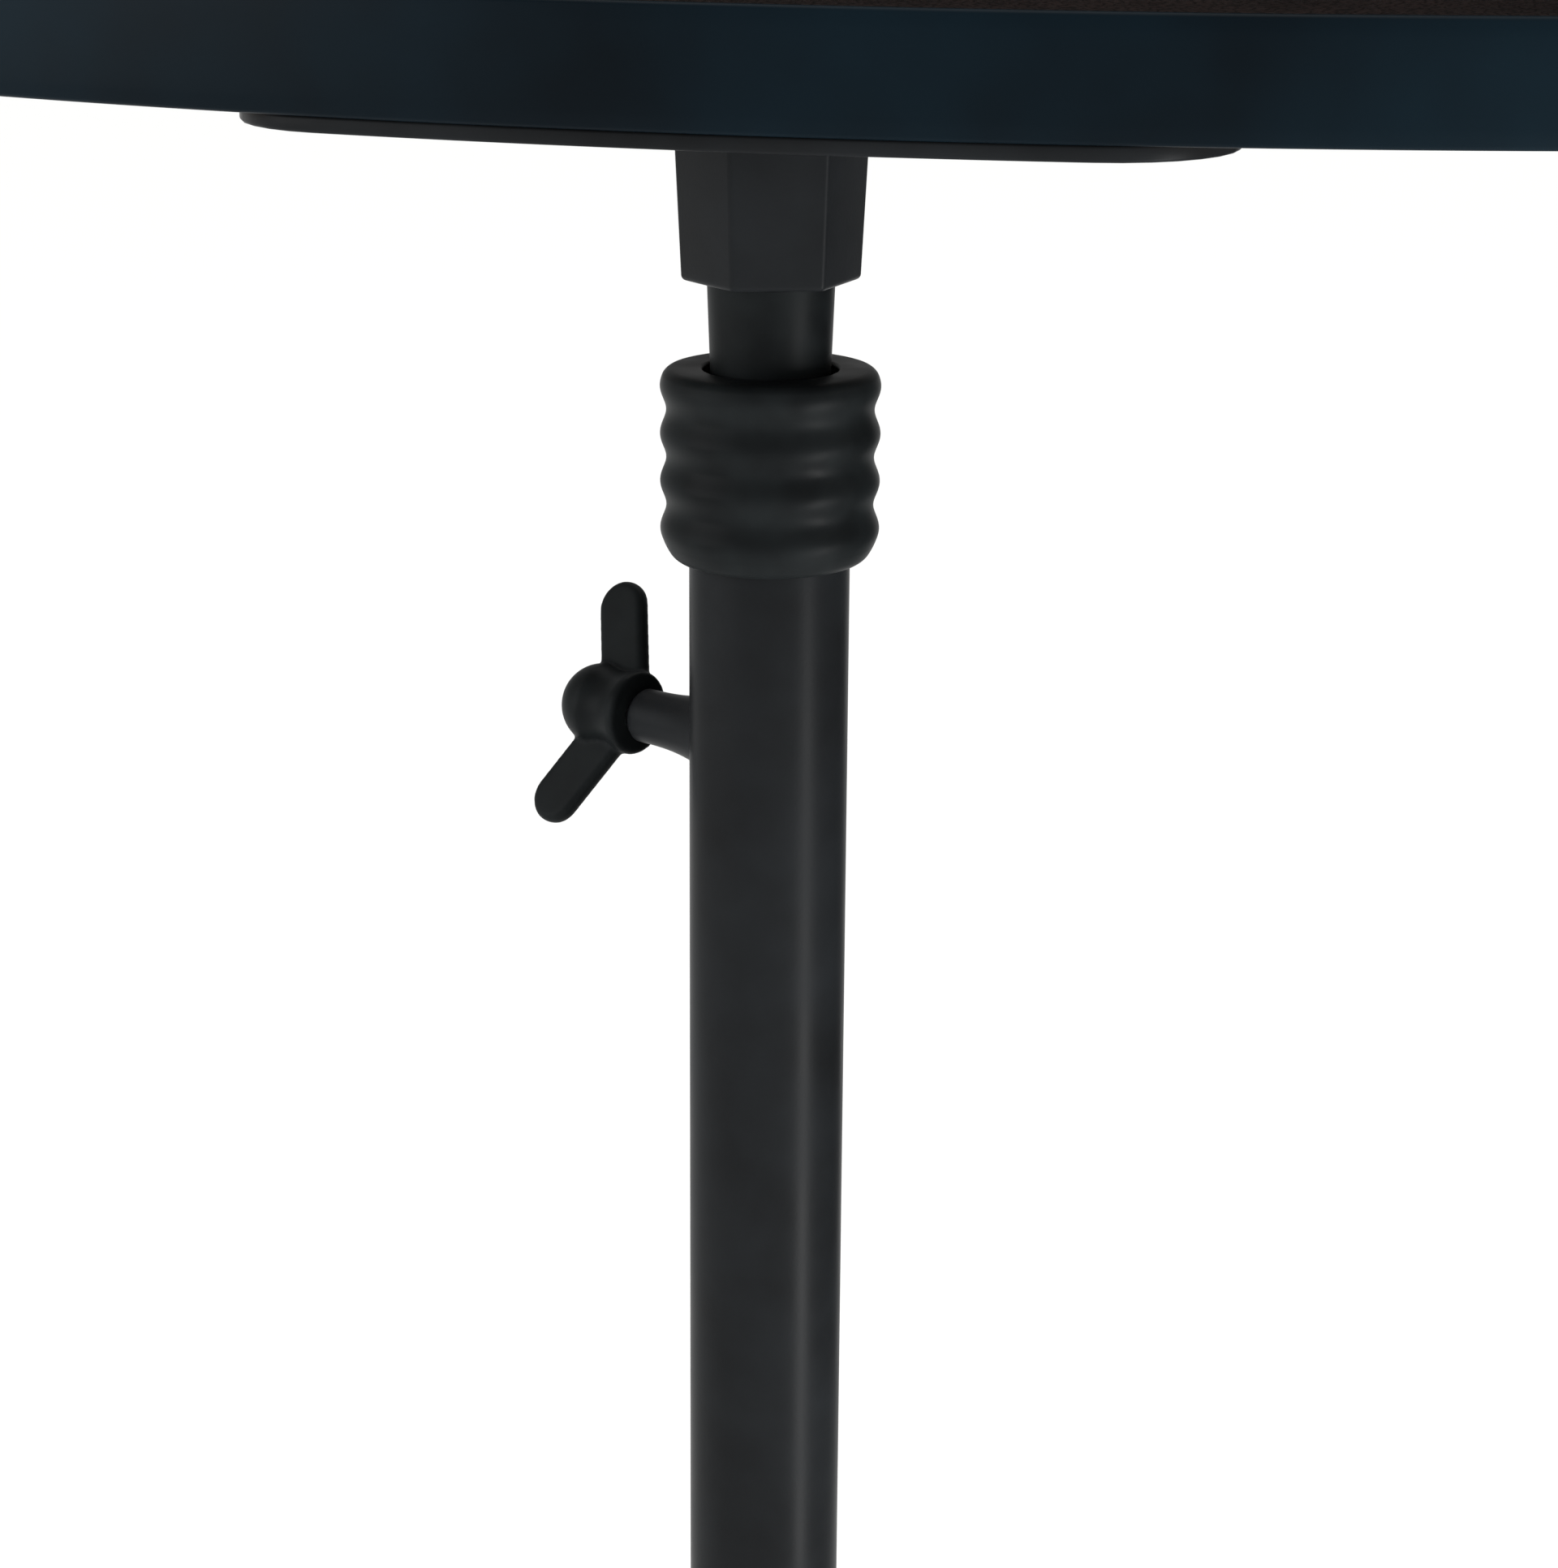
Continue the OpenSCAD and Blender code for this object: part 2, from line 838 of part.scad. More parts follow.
module leg_rivets() {
  color(ZINC)
    for (a = LEGS)
      on_post(a, crown_z)
        translate([pivot_r, 0, 0])
          rivet(pin_r, leg_w + 2 * gap);
}

// Puts a piece drawn hanging from a leg's pivot at the open leg's angle
module on_leg(i) {
  on_post(LEGS[i], crown_z)
    translate([pivot_r, 0, 0])
      rotate([0, -leg_open, 0])
        children();
}

// The channel without its holes: the web outside, the flanges towards the post
module channel() {
  difference() {
    union() {
      translate([-leg_d / 2, -leg_w / 2, -leg_l])
        cube([leg_d, leg_w, leg_l]);
      cross_pin(leg_d / 2, leg_w);
    }
    translate([-leg_d, -channel_in, -leg_l - over])
      cube([leg_d + web_in, 2 * channel_in, leg_l + leg_d]);
  }
}

module leg(i) {
  color(STEEL)
    on_leg(i)
      difference() {
        channel();
        cross_pin(pin_r + fit, 2 * leg_w);
        translate([0, 0, -brace_l])
          cross_pin(pin_r, 2 * leg_w);
      }
}

module leg_1() {
  leg(0);
}

module leg_2() {
  leg(1);
}

module leg_3() {
  leg(2);
}

// A rubber shoe moulded round the leg's end, flat where it stands
module foot(i) {
  wall = 2.2;
  shoe_l = 24;
  color(RUBBER)
    difference() {
      on_leg(i)
        difference() {
          union() {
            translate([0, 0, -leg_l])
              cross_pin(foot_r, leg_w + 2 * wall);
            translate([-leg_d / 2 - wall, -leg_w / 2 - wall, -leg_l])
              cube([leg_d + 2 * wall, leg_w + 2 * wall, shoe_l]);
          }
          channel();
        }
      translate([-2 * leg_l, -2 * leg_l, -leg_l])
        cube([4 * leg_l, 4 * leg_l, leg_l]);
    }
}

module foot_1() {
  foot(0);
}

module foot_2() {
  foot(1);
}

module foot_3() {
  foot(2);
}

module brace_rivet(i) {
  color(ZINC)
    on_leg(i)
      translate([0, 0, -brace_l])
        rivet(pin_r, leg_w);
}

module brace_rivet_1() {
  brace_rivet(0);
}

module brace_rivet_2() {
  brace_rivet(1);
}

module brace_rivet_3() {
  brace_rivet(2);
}

// Puts a piece drawn hanging from a leg's brace pivot at the open brace's angle
module on_brace(i) {
  on_leg(i)
    translate([0, 0, -brace_l])
      rotate([0, 2 * leg_open, 0])
        children();
}

// A flat brace, with a thick boss in the leg and a plain eye at the runner
module brace(i) {
  color(STEEL)
    on_brace(i)
      difference() {
        union() {
          translate([-brace_w / 2, -brace_t / 2, -brace_l])
            cube([brace_w, brace_t, brace_l]);
          cross_pin(brace_w / 2, 2 * (channel_in - gap));
          translate([0, 0, -brace_l])
            cross_pin(brace_w / 2, brace_t);
        }
        cross_pin(pin_r + fit, leg_w);
        translate([0, 0, -brace_l])
          cross_pin(pin_r, leg_w);
      }
}

module brace_1() {
  brace(0);
}

module brace_2() {
  brace(1);
}

module brace_3() {
  brace(2);
}

module runner_rivet(i) {
  color(ZINC)
    on_brace(i)
      translate([0, 0, -brace_l])
        rivet(pin_r, brace_t + 4 * gap + 2 * lug_t);
}

module runner_rivet_1() {
  runner_rivet(0);
}

module runner_rivet_2() {
  runner_rivet(1);
}

module runner_rivet_3() {
  runner_rivet(2);
}

// The runner: a ring with a pair of slotted lugs for each brace and a boss for its screw
module runner() {
  inner = brace_t / 2 + gap;
  color(BLACK)
    difference() {
      union() {
        translate([0, 0, runner_z - runner_h / 2])
          cylinder(r = ring_r, h = runner_h);
        for (a = LEGS, side = [-1, 1])
          on_post(a, runner_z)
            translate([0, side * (inner + lug_t / 2), 0]) {
              translate([tube_r, -lug_t / 2, -lug_r])
                cube([pivot_r - tube_r, lug_t, 2 * lug_r]);
              translate([pivot_r, 0, 0])
                cross_pin(lug_r, lug_t);
            }
        on_post(runner_az, runner_z)
          spoke(runner_boss_r, tube_r, runner_boss_end);
      }
      translate([0, 0, runner_z - runner_h])
        cylinder(r = tube_r + 2 * fit, h = 2 * runner_h);
      for (a = LEGS)
        on_post(a, runner_z)
          translate([pivot_r, 0, 0]) {
            cross_pin(pin_r + gap / 2, leg_w);
            translate([-pin_r - gap / 2, -leg_w / 2, -2 * lug_r])
              cube([2 * pin_r + gap, leg_w, 2 * lug_r]);
          }
      on_post(runner_az, runner_z)
        spoke(insert_r, 0, runner_boss_end + over);
    }
}

// A brass thread moulded into the runner's boss
module runner_insert() {
  color(BRASS)
    on_post(runner_az, runner_z)
      difference() {
        spoke(insert_r, tube_r + over, runner_boss_end);
        spoke(stud_r + fit, 0, runner_boss_end + over);
      }
}

module runner_pad() {
  on_post(runner_az, runner_z)
    pad(runner_pad_start, runner_pad_end);
}

module runner_stud() {
  on_post(runner_az, runner_z)
    stud(runner_pad_end + fit, runner_head_start);
}

module runner_wing_head() {
  on_post(runner_az, runner_z)
    wing_head(runner_head_start, 0);
}

shelf_board();
fascia_band();
shelf_mat();
mounting_plate();
plate_screws();
hub();
hub_screws();
hub_pin();
neck_sleeve();
mast_tube();
mast_plug();
glide();
glide_screw();
panel_board();
panel_skin();
panel_trim();
hinge_bracket_left();
hinge_bracket_right();
bracket_screws();
hinge_rivets();
friction_washers();
hinge_ear_left();
hinge_ear_right();
ear_screws();
outer_tube();
collar();
guide_bush();
clamp_boss();
clamp_pad();
clamp_stud();
clamp_wing_head();
tube_plug();
leg_crown();
crown_pin();
leg_rivets();
leg_1();
leg_2();
leg_3();
foot_1();
foot_2();
foot_3();
brace_rivet_1();
brace_rivet_2();
brace_rivet_3();
brace_1();
brace_2();
brace_3();
runner_rivet_1();
runner_rivet_2();
runner_rivet_3();
runner();
runner_insert();
runner_pad();
runner_stud();
runner_wing_head();
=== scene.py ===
"""Looks of the music stand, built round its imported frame. Lengths are metres, and Z is up."""

import json
import math

import bpy
import numpy as np
from mathutils import Matrix, Vector


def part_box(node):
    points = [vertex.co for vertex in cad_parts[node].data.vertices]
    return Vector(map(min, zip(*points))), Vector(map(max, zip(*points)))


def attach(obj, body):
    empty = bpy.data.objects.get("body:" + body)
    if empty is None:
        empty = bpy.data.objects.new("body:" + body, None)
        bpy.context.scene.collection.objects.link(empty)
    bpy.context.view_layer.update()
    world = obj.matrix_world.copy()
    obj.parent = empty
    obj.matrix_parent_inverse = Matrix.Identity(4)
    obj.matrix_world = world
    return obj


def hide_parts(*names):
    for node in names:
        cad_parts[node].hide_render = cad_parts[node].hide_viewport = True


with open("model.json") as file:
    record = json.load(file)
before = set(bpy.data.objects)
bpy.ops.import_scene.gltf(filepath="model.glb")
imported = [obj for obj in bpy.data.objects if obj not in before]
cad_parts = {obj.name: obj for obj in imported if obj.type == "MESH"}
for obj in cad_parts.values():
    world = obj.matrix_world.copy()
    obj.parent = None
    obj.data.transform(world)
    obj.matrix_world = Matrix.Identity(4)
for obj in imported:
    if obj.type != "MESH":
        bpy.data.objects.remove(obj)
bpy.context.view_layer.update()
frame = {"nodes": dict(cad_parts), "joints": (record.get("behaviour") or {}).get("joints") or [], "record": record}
MM = 0.001
LEGS = {1: 0, 2: 120, 3: 240}


# ---- sizes that the boxes of the frame don't give ----
# The shelf and its band
BOW_R = 430 * MM
SHELF_END_R = 18 * MM
PLATE_CORNER_R = 20 * MM
BAND_WALL = 2.5 * MM
BAND_CROWN = 0.25 * MM
BAND_LIP = 0.9 * MM
SLIT = 0.05 * MM
MAT_EDGE = 0.6 * MM
PLATE_EDGE = 0.5 * MM
SKIN_EDGE = 0.5 * MM
# The rest panel
CROWN_R = 1150 * MM
PANEL_TOP_R = 26 * MM
PANEL_FOOT_R = 12 * MM
PANEL_LEAN = math.radians(20)
# The tubes, the neck and the hub
TUBE_R = 12.5 * MM
TUBE_WALL = 1.2 * MM
TUBE_EDGE = 0.35 * MM
MAST_R = 8 * MM
COLLAR_FLOOR = 3 * MM
NECK_SUNK = 8 * MM
NECK_R = (9 * MM, 9.75 * MM)
NECK_EDGE = 0.3 * MM
HUB_R = (13.8 * MM, 15 * MM)
HUB_TURN = math.radians(19)
HUB_CORNER = 1.1 * MM
HUB_EDGE = 0.8 * MM
# The collar
RIB_R = 16.95 * MM
GROOVE = 0.95 * MM
RIB_PITCH = 7.4 * MM
RIB_START = 2.7 * MM
RIBS = 4
COLLAR_TOP_EDGE = 1.2 * MM
COLLAR_FOOT_EDGE = 3 * MM
COLLAR_MOUTH_EDGE = 0.5 * MM
COLLAR_ROOM = 0.6 * MM
# The boss and the wing screws
BOSS_R = 4.4 * MM
BOSS_FLARE = 1.6 * MM
BOSS_END = TUBE_R + 14 * MM
BOSS_EDGE = 0.5 * MM
BOSS_SUNK = 0.15 * MM
HEAD_GAP = 0.7 * MM
RUNNER_HEAD_START = TUBE_R + 10.8 * MM
KNOB_R = 6.9 * MM
KNOB_L = 7.9 * MM
KNOB_RIM = 0.6 * MM
KNOB_WAIST = 0.75 * MM
KNOB_TIP_R = 0.05 * MM
WAIST_START = 1.4 * MM
STUD_R = 2.95 * MM
WING_W = 8.7 * MM
WING_T = 2.9 * MM
WING_EDGE = 1.1 * MM
WING_ROOT = WING_T
WING_REACH = 18.4 * MM
WING_LEAN = math.radians(25)
WING_TURN = math.radians(30)
SKIN_VOXEL = 0.35 * MM
CLAMP_AZ = math.radians(155)
RUNNER_AZ = math.radians(180)
# The legs and their shoes
LEG_OPEN = math.radians(48)
LEG_L = 270 * MM
LEG_D = 12 * MM
LEG_W = 14 * MM
LEG_T = 1.2 * MM
LEG_BEND = 1.6 * MM
FOOT_R = 10 * MM
SHOE_L = 24 * MM
SHOE_WALL = 2.2 * MM
SHOE_EDGE = 1 * MM
HEEL_EDGE = 1.5 * MM
SHOE_RIB = 0.35 * MM
SHOE_RIB_PITCH = 4 * MM
SHOE_RIB_START = 8 * MM
SHOE_RIB_END = SHOE_L - 3 * MM
# The rivets and the screws
RIVET = {"shank": 2 * MM, "head_r": 3.4 * MM, "head_h": 1.2 * MM}
CROWN_RIVET_GRIP = LEG_W + 0.6 * MM
HINGE_PIN = {"shank": 2.5 * MM, "head_r": 4.5 * MM, "head_h": 1.5 * MM}
HINGE_PIN_NEAR = 128.5 * MM
SCREW_R = 1.6 * MM
SCREW_TIP_R = 0.1 * MM
SCREW_HEAD_R = 3.4 * MM
SCREW_HEAD_H = 1.6 * MM
CROSS_ARM = 0.55 * MM
CROSS_REACH = 0.62 * SCREW_HEAD_R
CROSS_DEPTH = 0.9 * MM
CROSS_SLOPE = 0.2 * MM


def joint(name):
    """The frame's joint of that name."""
    return next(j for j in frame["joints"] if j["name"] == name)


# ---- building meshes ----
def loft(rings, capped=True, closed=False):
    """Quads between each ring of points and the next, wrapping round each ring.

    A capped loft ends in one flat face at each end, and a closed one joins its last ring to its first.
    """
    rings = np.asarray(rings, float)
    rows, around = rings.shape[:2]
    ids = np.arange(rows * around).reshape(rows, around)
    upper = np.roll(ids, -1, 0) if closed else ids[1:]
    lower = ids if closed else ids[:-1]
    quads = np.stack([lower, np.roll(lower, -1, 1), np.roll(upper, -1, 1), upper], -1)
    faces = quads.reshape(-1, 4).tolist()
    if capped and not closed:
        faces += [ids[0][::-1].tolist(), ids[-1].tolist()]
    return rings.reshape(-1, 3), faces


def outward(points, faces):
    """The faces of a closed shell, turned if its signed volume, the sum of its corners' triple
    products, is negative."""
    volume = 0.0
    for count in {len(f) for f in faces}:
        corners = points[np.array([f for f in faces if len(f) == count])]
        first = corners[:, :1]
        fan = np.cross(corners[:, 1:-1] - first, corners[:, 2:] - first)
        volume += np.einsum("ijk,ijk->", fan, np.broadcast_to(first, fan.shape))
    return faces if volume > 0 else [f[::-1] for f in faces]


def piece(name, shells, material, body, slot, *nodes, sharp=35):
    """One object of one or more closed shells, riding on a body and standing for CAD nodes."""
    points, faces, start = [], [], 0
    for shell_points, shell_faces in shells:
        faces += [[start + i for i in f] for f in outward(shell_points, shell_faces)]
        points.append(shell_points)
        start += len(shell_points)
    mesh = bpy.data.meshes.new(name)
    mesh.from_pydata(np.concatenate(points).tolist(), [], faces)
    mesh.validate()
    mesh.shade_smooth()
    mesh.set_sharp_from_angle(angle=math.radians(sharp))
    mesh.materials.append(material)
    made = bpy.data.objects.new(name, mesh)
    bpy.context.scene.collection.objects.link(made)
    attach(made, body)
    if nodes:
        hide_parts(*nodes)
    return made


def placed(points, matrix):
    """Points carried by a 4 x 4 matrix."""
    m = np.array(matrix)
    return points @ m[:3, :3].T + m[:3, 3]


def revolve(profile, around=96, capped=False, closed=True):
    """A profile of radius and height, turned round the Z axis."""
    profile = np.asarray(profile, float)
    turn = np.linspace(0, 2 * np.pi, around, endpoint=False)
    radius, height = profile[:, :1], profile[:, 1:]
    rings = np.stack([radius * np.cos(turn), radius * np.sin(turn), height + 0 * turn], -1)
    return loft(rings, capped, closed)


def arc(centre, radius, start, end, count=8):
    """Points on a circle's arc, from one angle in degrees to another."""
    angle = np.radians(np.linspace(start, end, count))
    return np.stack([centre[0] + radius * np.cos(angle), centre[1] + radius * np.sin(angle)], -1)


def rounded_section(low, high, radius, count=5):
    """A rectangle's outline between two corners, each corner a quarter circle."""
    (x0, z0), (x1, z1) = low, high
    return np.concatenate([
        arc((x1 - radius, z0 + radius), radius, -90, 0, count),
        arc((x1 - radius, z1 - radius), radius, 0, 90, count),
        arc((x0 + radius, z1 - radius), radius, 90, 180, count),
        arc((x0 + radius, z0 + radius), radius, 180, 270, count),
    ])


def tube_wall(outer, inner, low, high, edge):
    """The section of a tube's wall: two straight sides whose corners are rounded by edge."""
    return rounded_section((inner, low), (outer, high), edge)


def slab(outline, low, high, edge, steps=4):
    """A flat plate: its outline is a function of the inset, and the inset follows a quarter circle
    at the top and bottom edges."""
    angle = np.linspace(0, np.pi / 2, steps)
    inset = edge * (1 - np.sin(angle))
    rise = edge * (1 - np.cos(angle))
    insets = np.concatenate([inset, inset[::-1]])
    heights = np.concatenate([low + rise, high - rise[::-1]])
    rings = [np.column_stack([outline(i), np.full(len(outline(i)), z)])
             for i, z in zip(insets, heights)]
    return loft(rings)


# ---- outlines ----
def bowed_outline(inset, radius, centre_y, half, back, front_r, back_r, bow_steps=120):
    """A loop round a bowed front, straight sides and back, and four round corners, drawn in by inset.

    Each corner is an arc about a fixed centre, so its radius shrinks by the inset.
    """
    front_x = half - front_r
    front_y = centre_y - math.sqrt((radius - front_r) ** 2 - front_x ** 2)
    tangent = math.degrees(math.atan2(front_y - centre_y, front_x))
    bow = arc((0, centre_y), radius - inset, -180 - tangent, tangent, bow_steps)
    return np.concatenate([
        bow,
        arc((front_x, front_y), front_r - inset, tangent, 0)[1:],
        arc((half - back_r, back - back_r), back_r - inset, 0, 90),
        arc((back_r - half, back - back_r), back_r - inset, 90, 180),
        arc((-front_x, front_y), front_r - inset, 180, 180 - tangent)[:-1],
    ])


SHELF_LOW, SHELF_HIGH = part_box("fascia_band")
SHELF_BACK = SHELF_HIGH.y
BOW_Y = SHELF_LOW.y + BOW_R
SHELF_END_Y = SHELF_BACK - SHELF_END_R
SHELF_END_X = SHELF_HIGH.x - SHELF_END_R
SHELF_TANGENT = math.degrees(math.atan2(SHELF_END_Y - BOW_Y, SHELF_END_X))


def shelf_edge(inset, bow_steps=240):
    """The bow and the shelf's two round ends, from the back on one side to the back on the other."""
    end_r = SHELF_END_R - inset
    return np.concatenate([
        arc((-SHELF_END_X, SHELF_END_Y), end_r, 90, 180 - SHELF_TANGENT, 24)[:-1],
        arc((0, BOW_Y), BOW_R - inset, -180 - SHELF_TANGENT, SHELF_TANGENT, bow_steps),
        arc((SHELF_END_X, SHELF_END_Y), end_r, SHELF_TANGENT, 90, 24)[1:],
    ])


def rounded_hexagon(radius, fillet, turn, steps=7):
    """A hexagon of that corner radius, whose corners are arcs that touch both sides."""
    at = turn + np.radians(60 * np.arange(6))[:, None]
    inner = radius - fillet / math.cos(math.pi / 6)
    swing = np.radians(np.linspace(-30, 30, steps))
    x = inner * np.cos(at) + fillet * np.cos(at + swing)
    y = inner * np.sin(at) + fillet * np.sin(at + swing)
    return np.stack([x, y], -1).reshape(-1, 2)


# ---- materials ----
def linear(colour):
    """The linear values of an sRGB hex colour."""
    srgb = [int(colour[i:i + 2], 16) / 255 for i in (1, 3, 5)]
    return [c / 12.92 if c <= 0.04045 else ((c + 0.055) / 1.055) ** 2.4 for c in srgb] + [1.0]


def add(tree, kind, inputs=(), **settings):
    """Adds one shader node, sets its own settings, and gives each input a value or a link."""
    made = tree.nodes.new("ShaderNode" + kind)
    for name, value in settings.items():
        setattr(made, name, value)
    for name, value in dict(inputs).items():
        if isinstance(value, bpy.types.NodeSocket):
            tree.links.new(value, made.inputs[name])
        else:
            made.inputs[name].default_value = value
    return made


def surface(name):
    """A new material's tree, its shader and the object's own coordinates."""
    made = bpy.data.materials.new(name)
    made.use_nodes = True
    tree = made.node_tree
    coordinates = add(tree, "TexCoord").outputs["Object"]
    return made, tree, tree.nodes["Principled BSDF"], coordinates


def per_metre(size):
    """The scale of a pattern whose features are size metres across."""
    return 1 / size


def varied(tree, pattern, dark, light, low=0.3, high=0.7):
    """A colour between two, as a pattern goes from low to high."""
    share = add(tree, "MapRange", {"Value": pattern, "From Min": low, "From Max": high}).outputs[0]
    mix = add(tree, "Mix", {0: share, 6: linear(dark), 7: linear(light)}, data_type="RGBA")
    return mix.outputs[2]


def ranged(tree, pattern, start, end, low=0.3, high=0.7):
    """A value between start and end, as a pattern goes from low to high."""
    limits = {"Value": pattern, "From Min": low, "From Max": high, "To Min": start, "To Max": end}
    return add(tree, "MapRange", limits).outputs[0]


def powder_coat():
    """Polyester powder baked on steel: satin, very dark, with a fine orange peel that softens its
    highlights and cloudy patches where hands have polished it."""
    made, tree, shader, at = surface("satin_powder_coat")
    peel = add(tree, "TexNoise", {"Vector": at, "Scale": per_metre(0.7 * MM), "Detail": 2.0})
    cloud = add(tree, "TexNoise", {"Vector": at, "Scale": per_metre(22 * MM), "Detail": 3.0})
    fleck = add(tree, "TexNoise", {"Vector": at, "Scale": per_metre(0.35 * MM), "Detail": 1.0})
    tree.links.new(varied(tree, cloud.outputs[0], "#18191a", "#202224"), shader.inputs["Base Color"])
    worn = ranged(tree, cloud.outputs[0], 0.32, 0.4)
    tree.links.new(worn, shader.inputs["Roughness"])
    grain = add(tree, "Bump", {"Height": fleck.outputs[0], "Strength": 0.25, "Distance": 0.01 * MM})
    bump = add(tree, "Bump", {"Height": peel.outputs[0], "Strength": 0.5, "Distance": 0.02 * MM,
                              "Normal": grain.outputs[0]})
    tree.links.new(bump.outputs[0], shader.inputs["Normal"])
    shader.inputs["IOR"].default_value = 1.5
    shader.inputs["Specular IOR Level"].default_value = 0.04
    return made


def moulded_nylon():
    """Glass-filled nylon from a spark-eroded mould: a fine even grain and a soft sheen."""
    made, tree, shader, at = surface("moulded_nylon")
    grain = add(tree, "TexNoise", {"Vector": at, "Scale": per_metre(0.4 * MM), "Detail": 3.0})
    flow = add(tree, "TexNoise", {"Vector": at, "Scale": per_metre(9 * MM), "Detail": 2.0})
    tree.links.new(varied(tree, flow.outputs[0], "#131516", "#1b1e1f"), shader.inputs["Base Color"])
    tree.links.new(ranged(tree, flow.outputs[0], 0.38, 0.5), shader.inputs["Roughness"])
    bump = add(tree, "Bump", {"Height": grain.outputs[0], "Strength": 0.4, "Distance": 0.02 * MM})
    tree.links.new(bump.outputs[0], shader.inputs["Normal"])
    shader.inputs["IOR"].default_value = 1.53
    shader.inputs["Specular IOR Level"].default_value = 0.04
    return made


def edge_band():
    """Extruded PVC edging: blue-black, smooth and satin, with faint lines along its length."""
    made, tree, shader, at = surface("pvc_edge_band")
    stretch = add(tree, "Mapping", {"Vector": at, "Scale": (0.02, 0.02, 1.0)}).outputs[0]
    lines = add(tree, "TexNoise", {"Vector": stretch, "Scale": per_metre(0.9 * MM), "Detail": 3.0})
    patch = add(tree, "TexNoise", {"Vector": at, "Scale": per_metre(45 * MM), "Detail": 3.0})
    tree.links.new(varied(tree, patch.outputs[0], "#080f14", "#0c1a22"), shader.inputs["Base Color"])
    tree.links.new(ranged(tree, patch.outputs[0], 0.34, 0.44), shader.inputs["Roughness"])
    bump = add(tree, "Bump", {"Height": lines.outputs[0], "Strength": 0.25, "Distance": 0.02 * MM})
    tree.links.new(bump.outputs[0], shader.inputs["Normal"])
    shader.inputs["IOR"].default_value = 1.53
    shader.inputs["Specular IOR Level"].default_value = 0.04
    return made


def leatherette():
    """Coated cloth embossed with a hide grain: pebbles parted by creases, brown-black, with painted shade in the
    creases.
    """
    made, tree, shader, at = surface("grained_leatherette")
    warp = add(tree, "TexNoise", {"Vector": at, "Scale": per_metre(2.2 * MM), "Detail": 3.0})
    shift = add(tree, "Mix", {0: 0.0012, 4: at, 5: warp.outputs["Color"]}, data_type="VECTOR")
    cells = {"Vector": shift.outputs[1], "Scale": per_metre(1.5 * MM)}
    crease = add(tree, "TexVoronoi", cells, feature="DISTANCE_TO_EDGE").outputs["Distance"]
    pebble = ranged(tree, crease, 0.0, 1.0, 0.0, 0.22)
    patch = add(tree, "TexNoise", {"Vector": at, "Scale": per_metre(16 * MM), "Detail": 4.0})
    light = varied(tree, patch.outputs[0], "#1a1413", "#261d1b")
    # The creases are painted near-black: painted shade in the grain's hollows, on top of the bump that shapes them
    mix = add(tree, "Mix", {0: pebble, 6: linear("#0b0908"), 7: light}, data_type="RGBA")
    tree.links.new(mix.outputs[2], shader.inputs["Base Color"])
    tree.links.new(ranged(tree, pebble, 0.62, 0.46, 0.0, 1.0), shader.inputs["Roughness"])
    fine = add(tree, "TexNoise", {"Vector": at, "Scale": per_metre(0.3 * MM), "Detail": 2.0})
    pores = add(tree, "Bump", {"Height": fine.outputs[0], "Strength": 0.3, "Distance": 0.03 * MM})
    bump = add(tree, "Bump", {"Height": pebble, "Strength": 0.9, "Distance": 0.15 * MM,
                              "Normal": pores.outputs[0]})
    tree.links.new(bump.outputs[0], shader.inputs["Normal"])
    shader.inputs["Specular IOR Level"].default_value = 0.04
    return made


def fibre_board():
    """Pressed fibre board: mid-brown, matt, with short darker fibres."""
    made, tree, shader, at = surface("pressed_fibre_board")
    stretch = add(tree, "Mapping", {"Vector": at, "Scale": (0.25, 1.0, 1.0)}).outputs[0]
    fibre = add(tree, "TexNoise", {"Vector": stretch, "Scale": per_metre(0.8 * MM), "Detail": 6.0})
    tree.links.new(varied(tree, fibre.outputs[0], "#5d452e", "#8f6f4c"), shader.inputs["Base Color"])
    bump = add(tree, "Bump", {"Height": fibre.outputs[0], "Strength": 0.5, "Distance": 0.08 * MM})
    tree.links.new(bump.outputs[0], shader.inputs["Normal"])
    shader.inputs["Roughness"].default_value = 0.82
    return made


def natural_nylon():
    """Turned natural nylon: waxy off-white with fine tool marks."""
    made, tree, shader, at = surface("natural_nylon")
    marks = add(tree, "TexNoise", {"Vector": at, "Scale": per_metre(0.5 * MM), "Detail": 2.0})
    tree.links.new(varied(tree, marks.outputs[0], "#c9c4b5", "#e2ded2"), shader.inputs["Base Color"])
    tree.links.new(ranged(tree, marks.outputs[0], 0.42, 0.55), shader.inputs["Roughness"])
    bump = add(tree, "Bump", {"Height": marks.outputs[0], "Strength": 0.3, "Distance": 0.02 * MM})
    tree.links.new(bump.outputs[0], shader.inputs["Normal"])
    shader.inputs["Subsurface Weight"].default_value = 0.15
    shader.inputs["Subsurface Radius"].default_value = (2 * MM, 1.6 * MM, 1.2 * MM)
    return made


def plated(name, dark, light, start, end):
    """A metal fastener: its plating dulls in patches, and its machining shows as a fine grain."""
    made, tree, shader, at = surface(name)
    patch = add(tree, "TexNoise", {"Vector": at, "Scale": per_metre(1.8 * MM), "Detail": 4.0})
    grain = add(tree, "TexNoise", {"Vector": at, "Scale": per_metre(0.2 * MM), "Detail": 2.0})
    tree.links.new(varied(tree, patch.outputs[0], dark, light), shader.inputs["Base Color"])
    tree.links.new(ranged(tree, patch.outputs[0], start, end), shader.inputs["Roughness"])
    bump = add(tree, "Bump", {"Height": grain.outputs[0], "Strength": 0.3, "Distance": 0.01 * MM})
    tree.links.new(bump.outputs[0], shader.inputs["Normal"])
    shader.inputs["Metallic"].default_value = 1.0
    return made


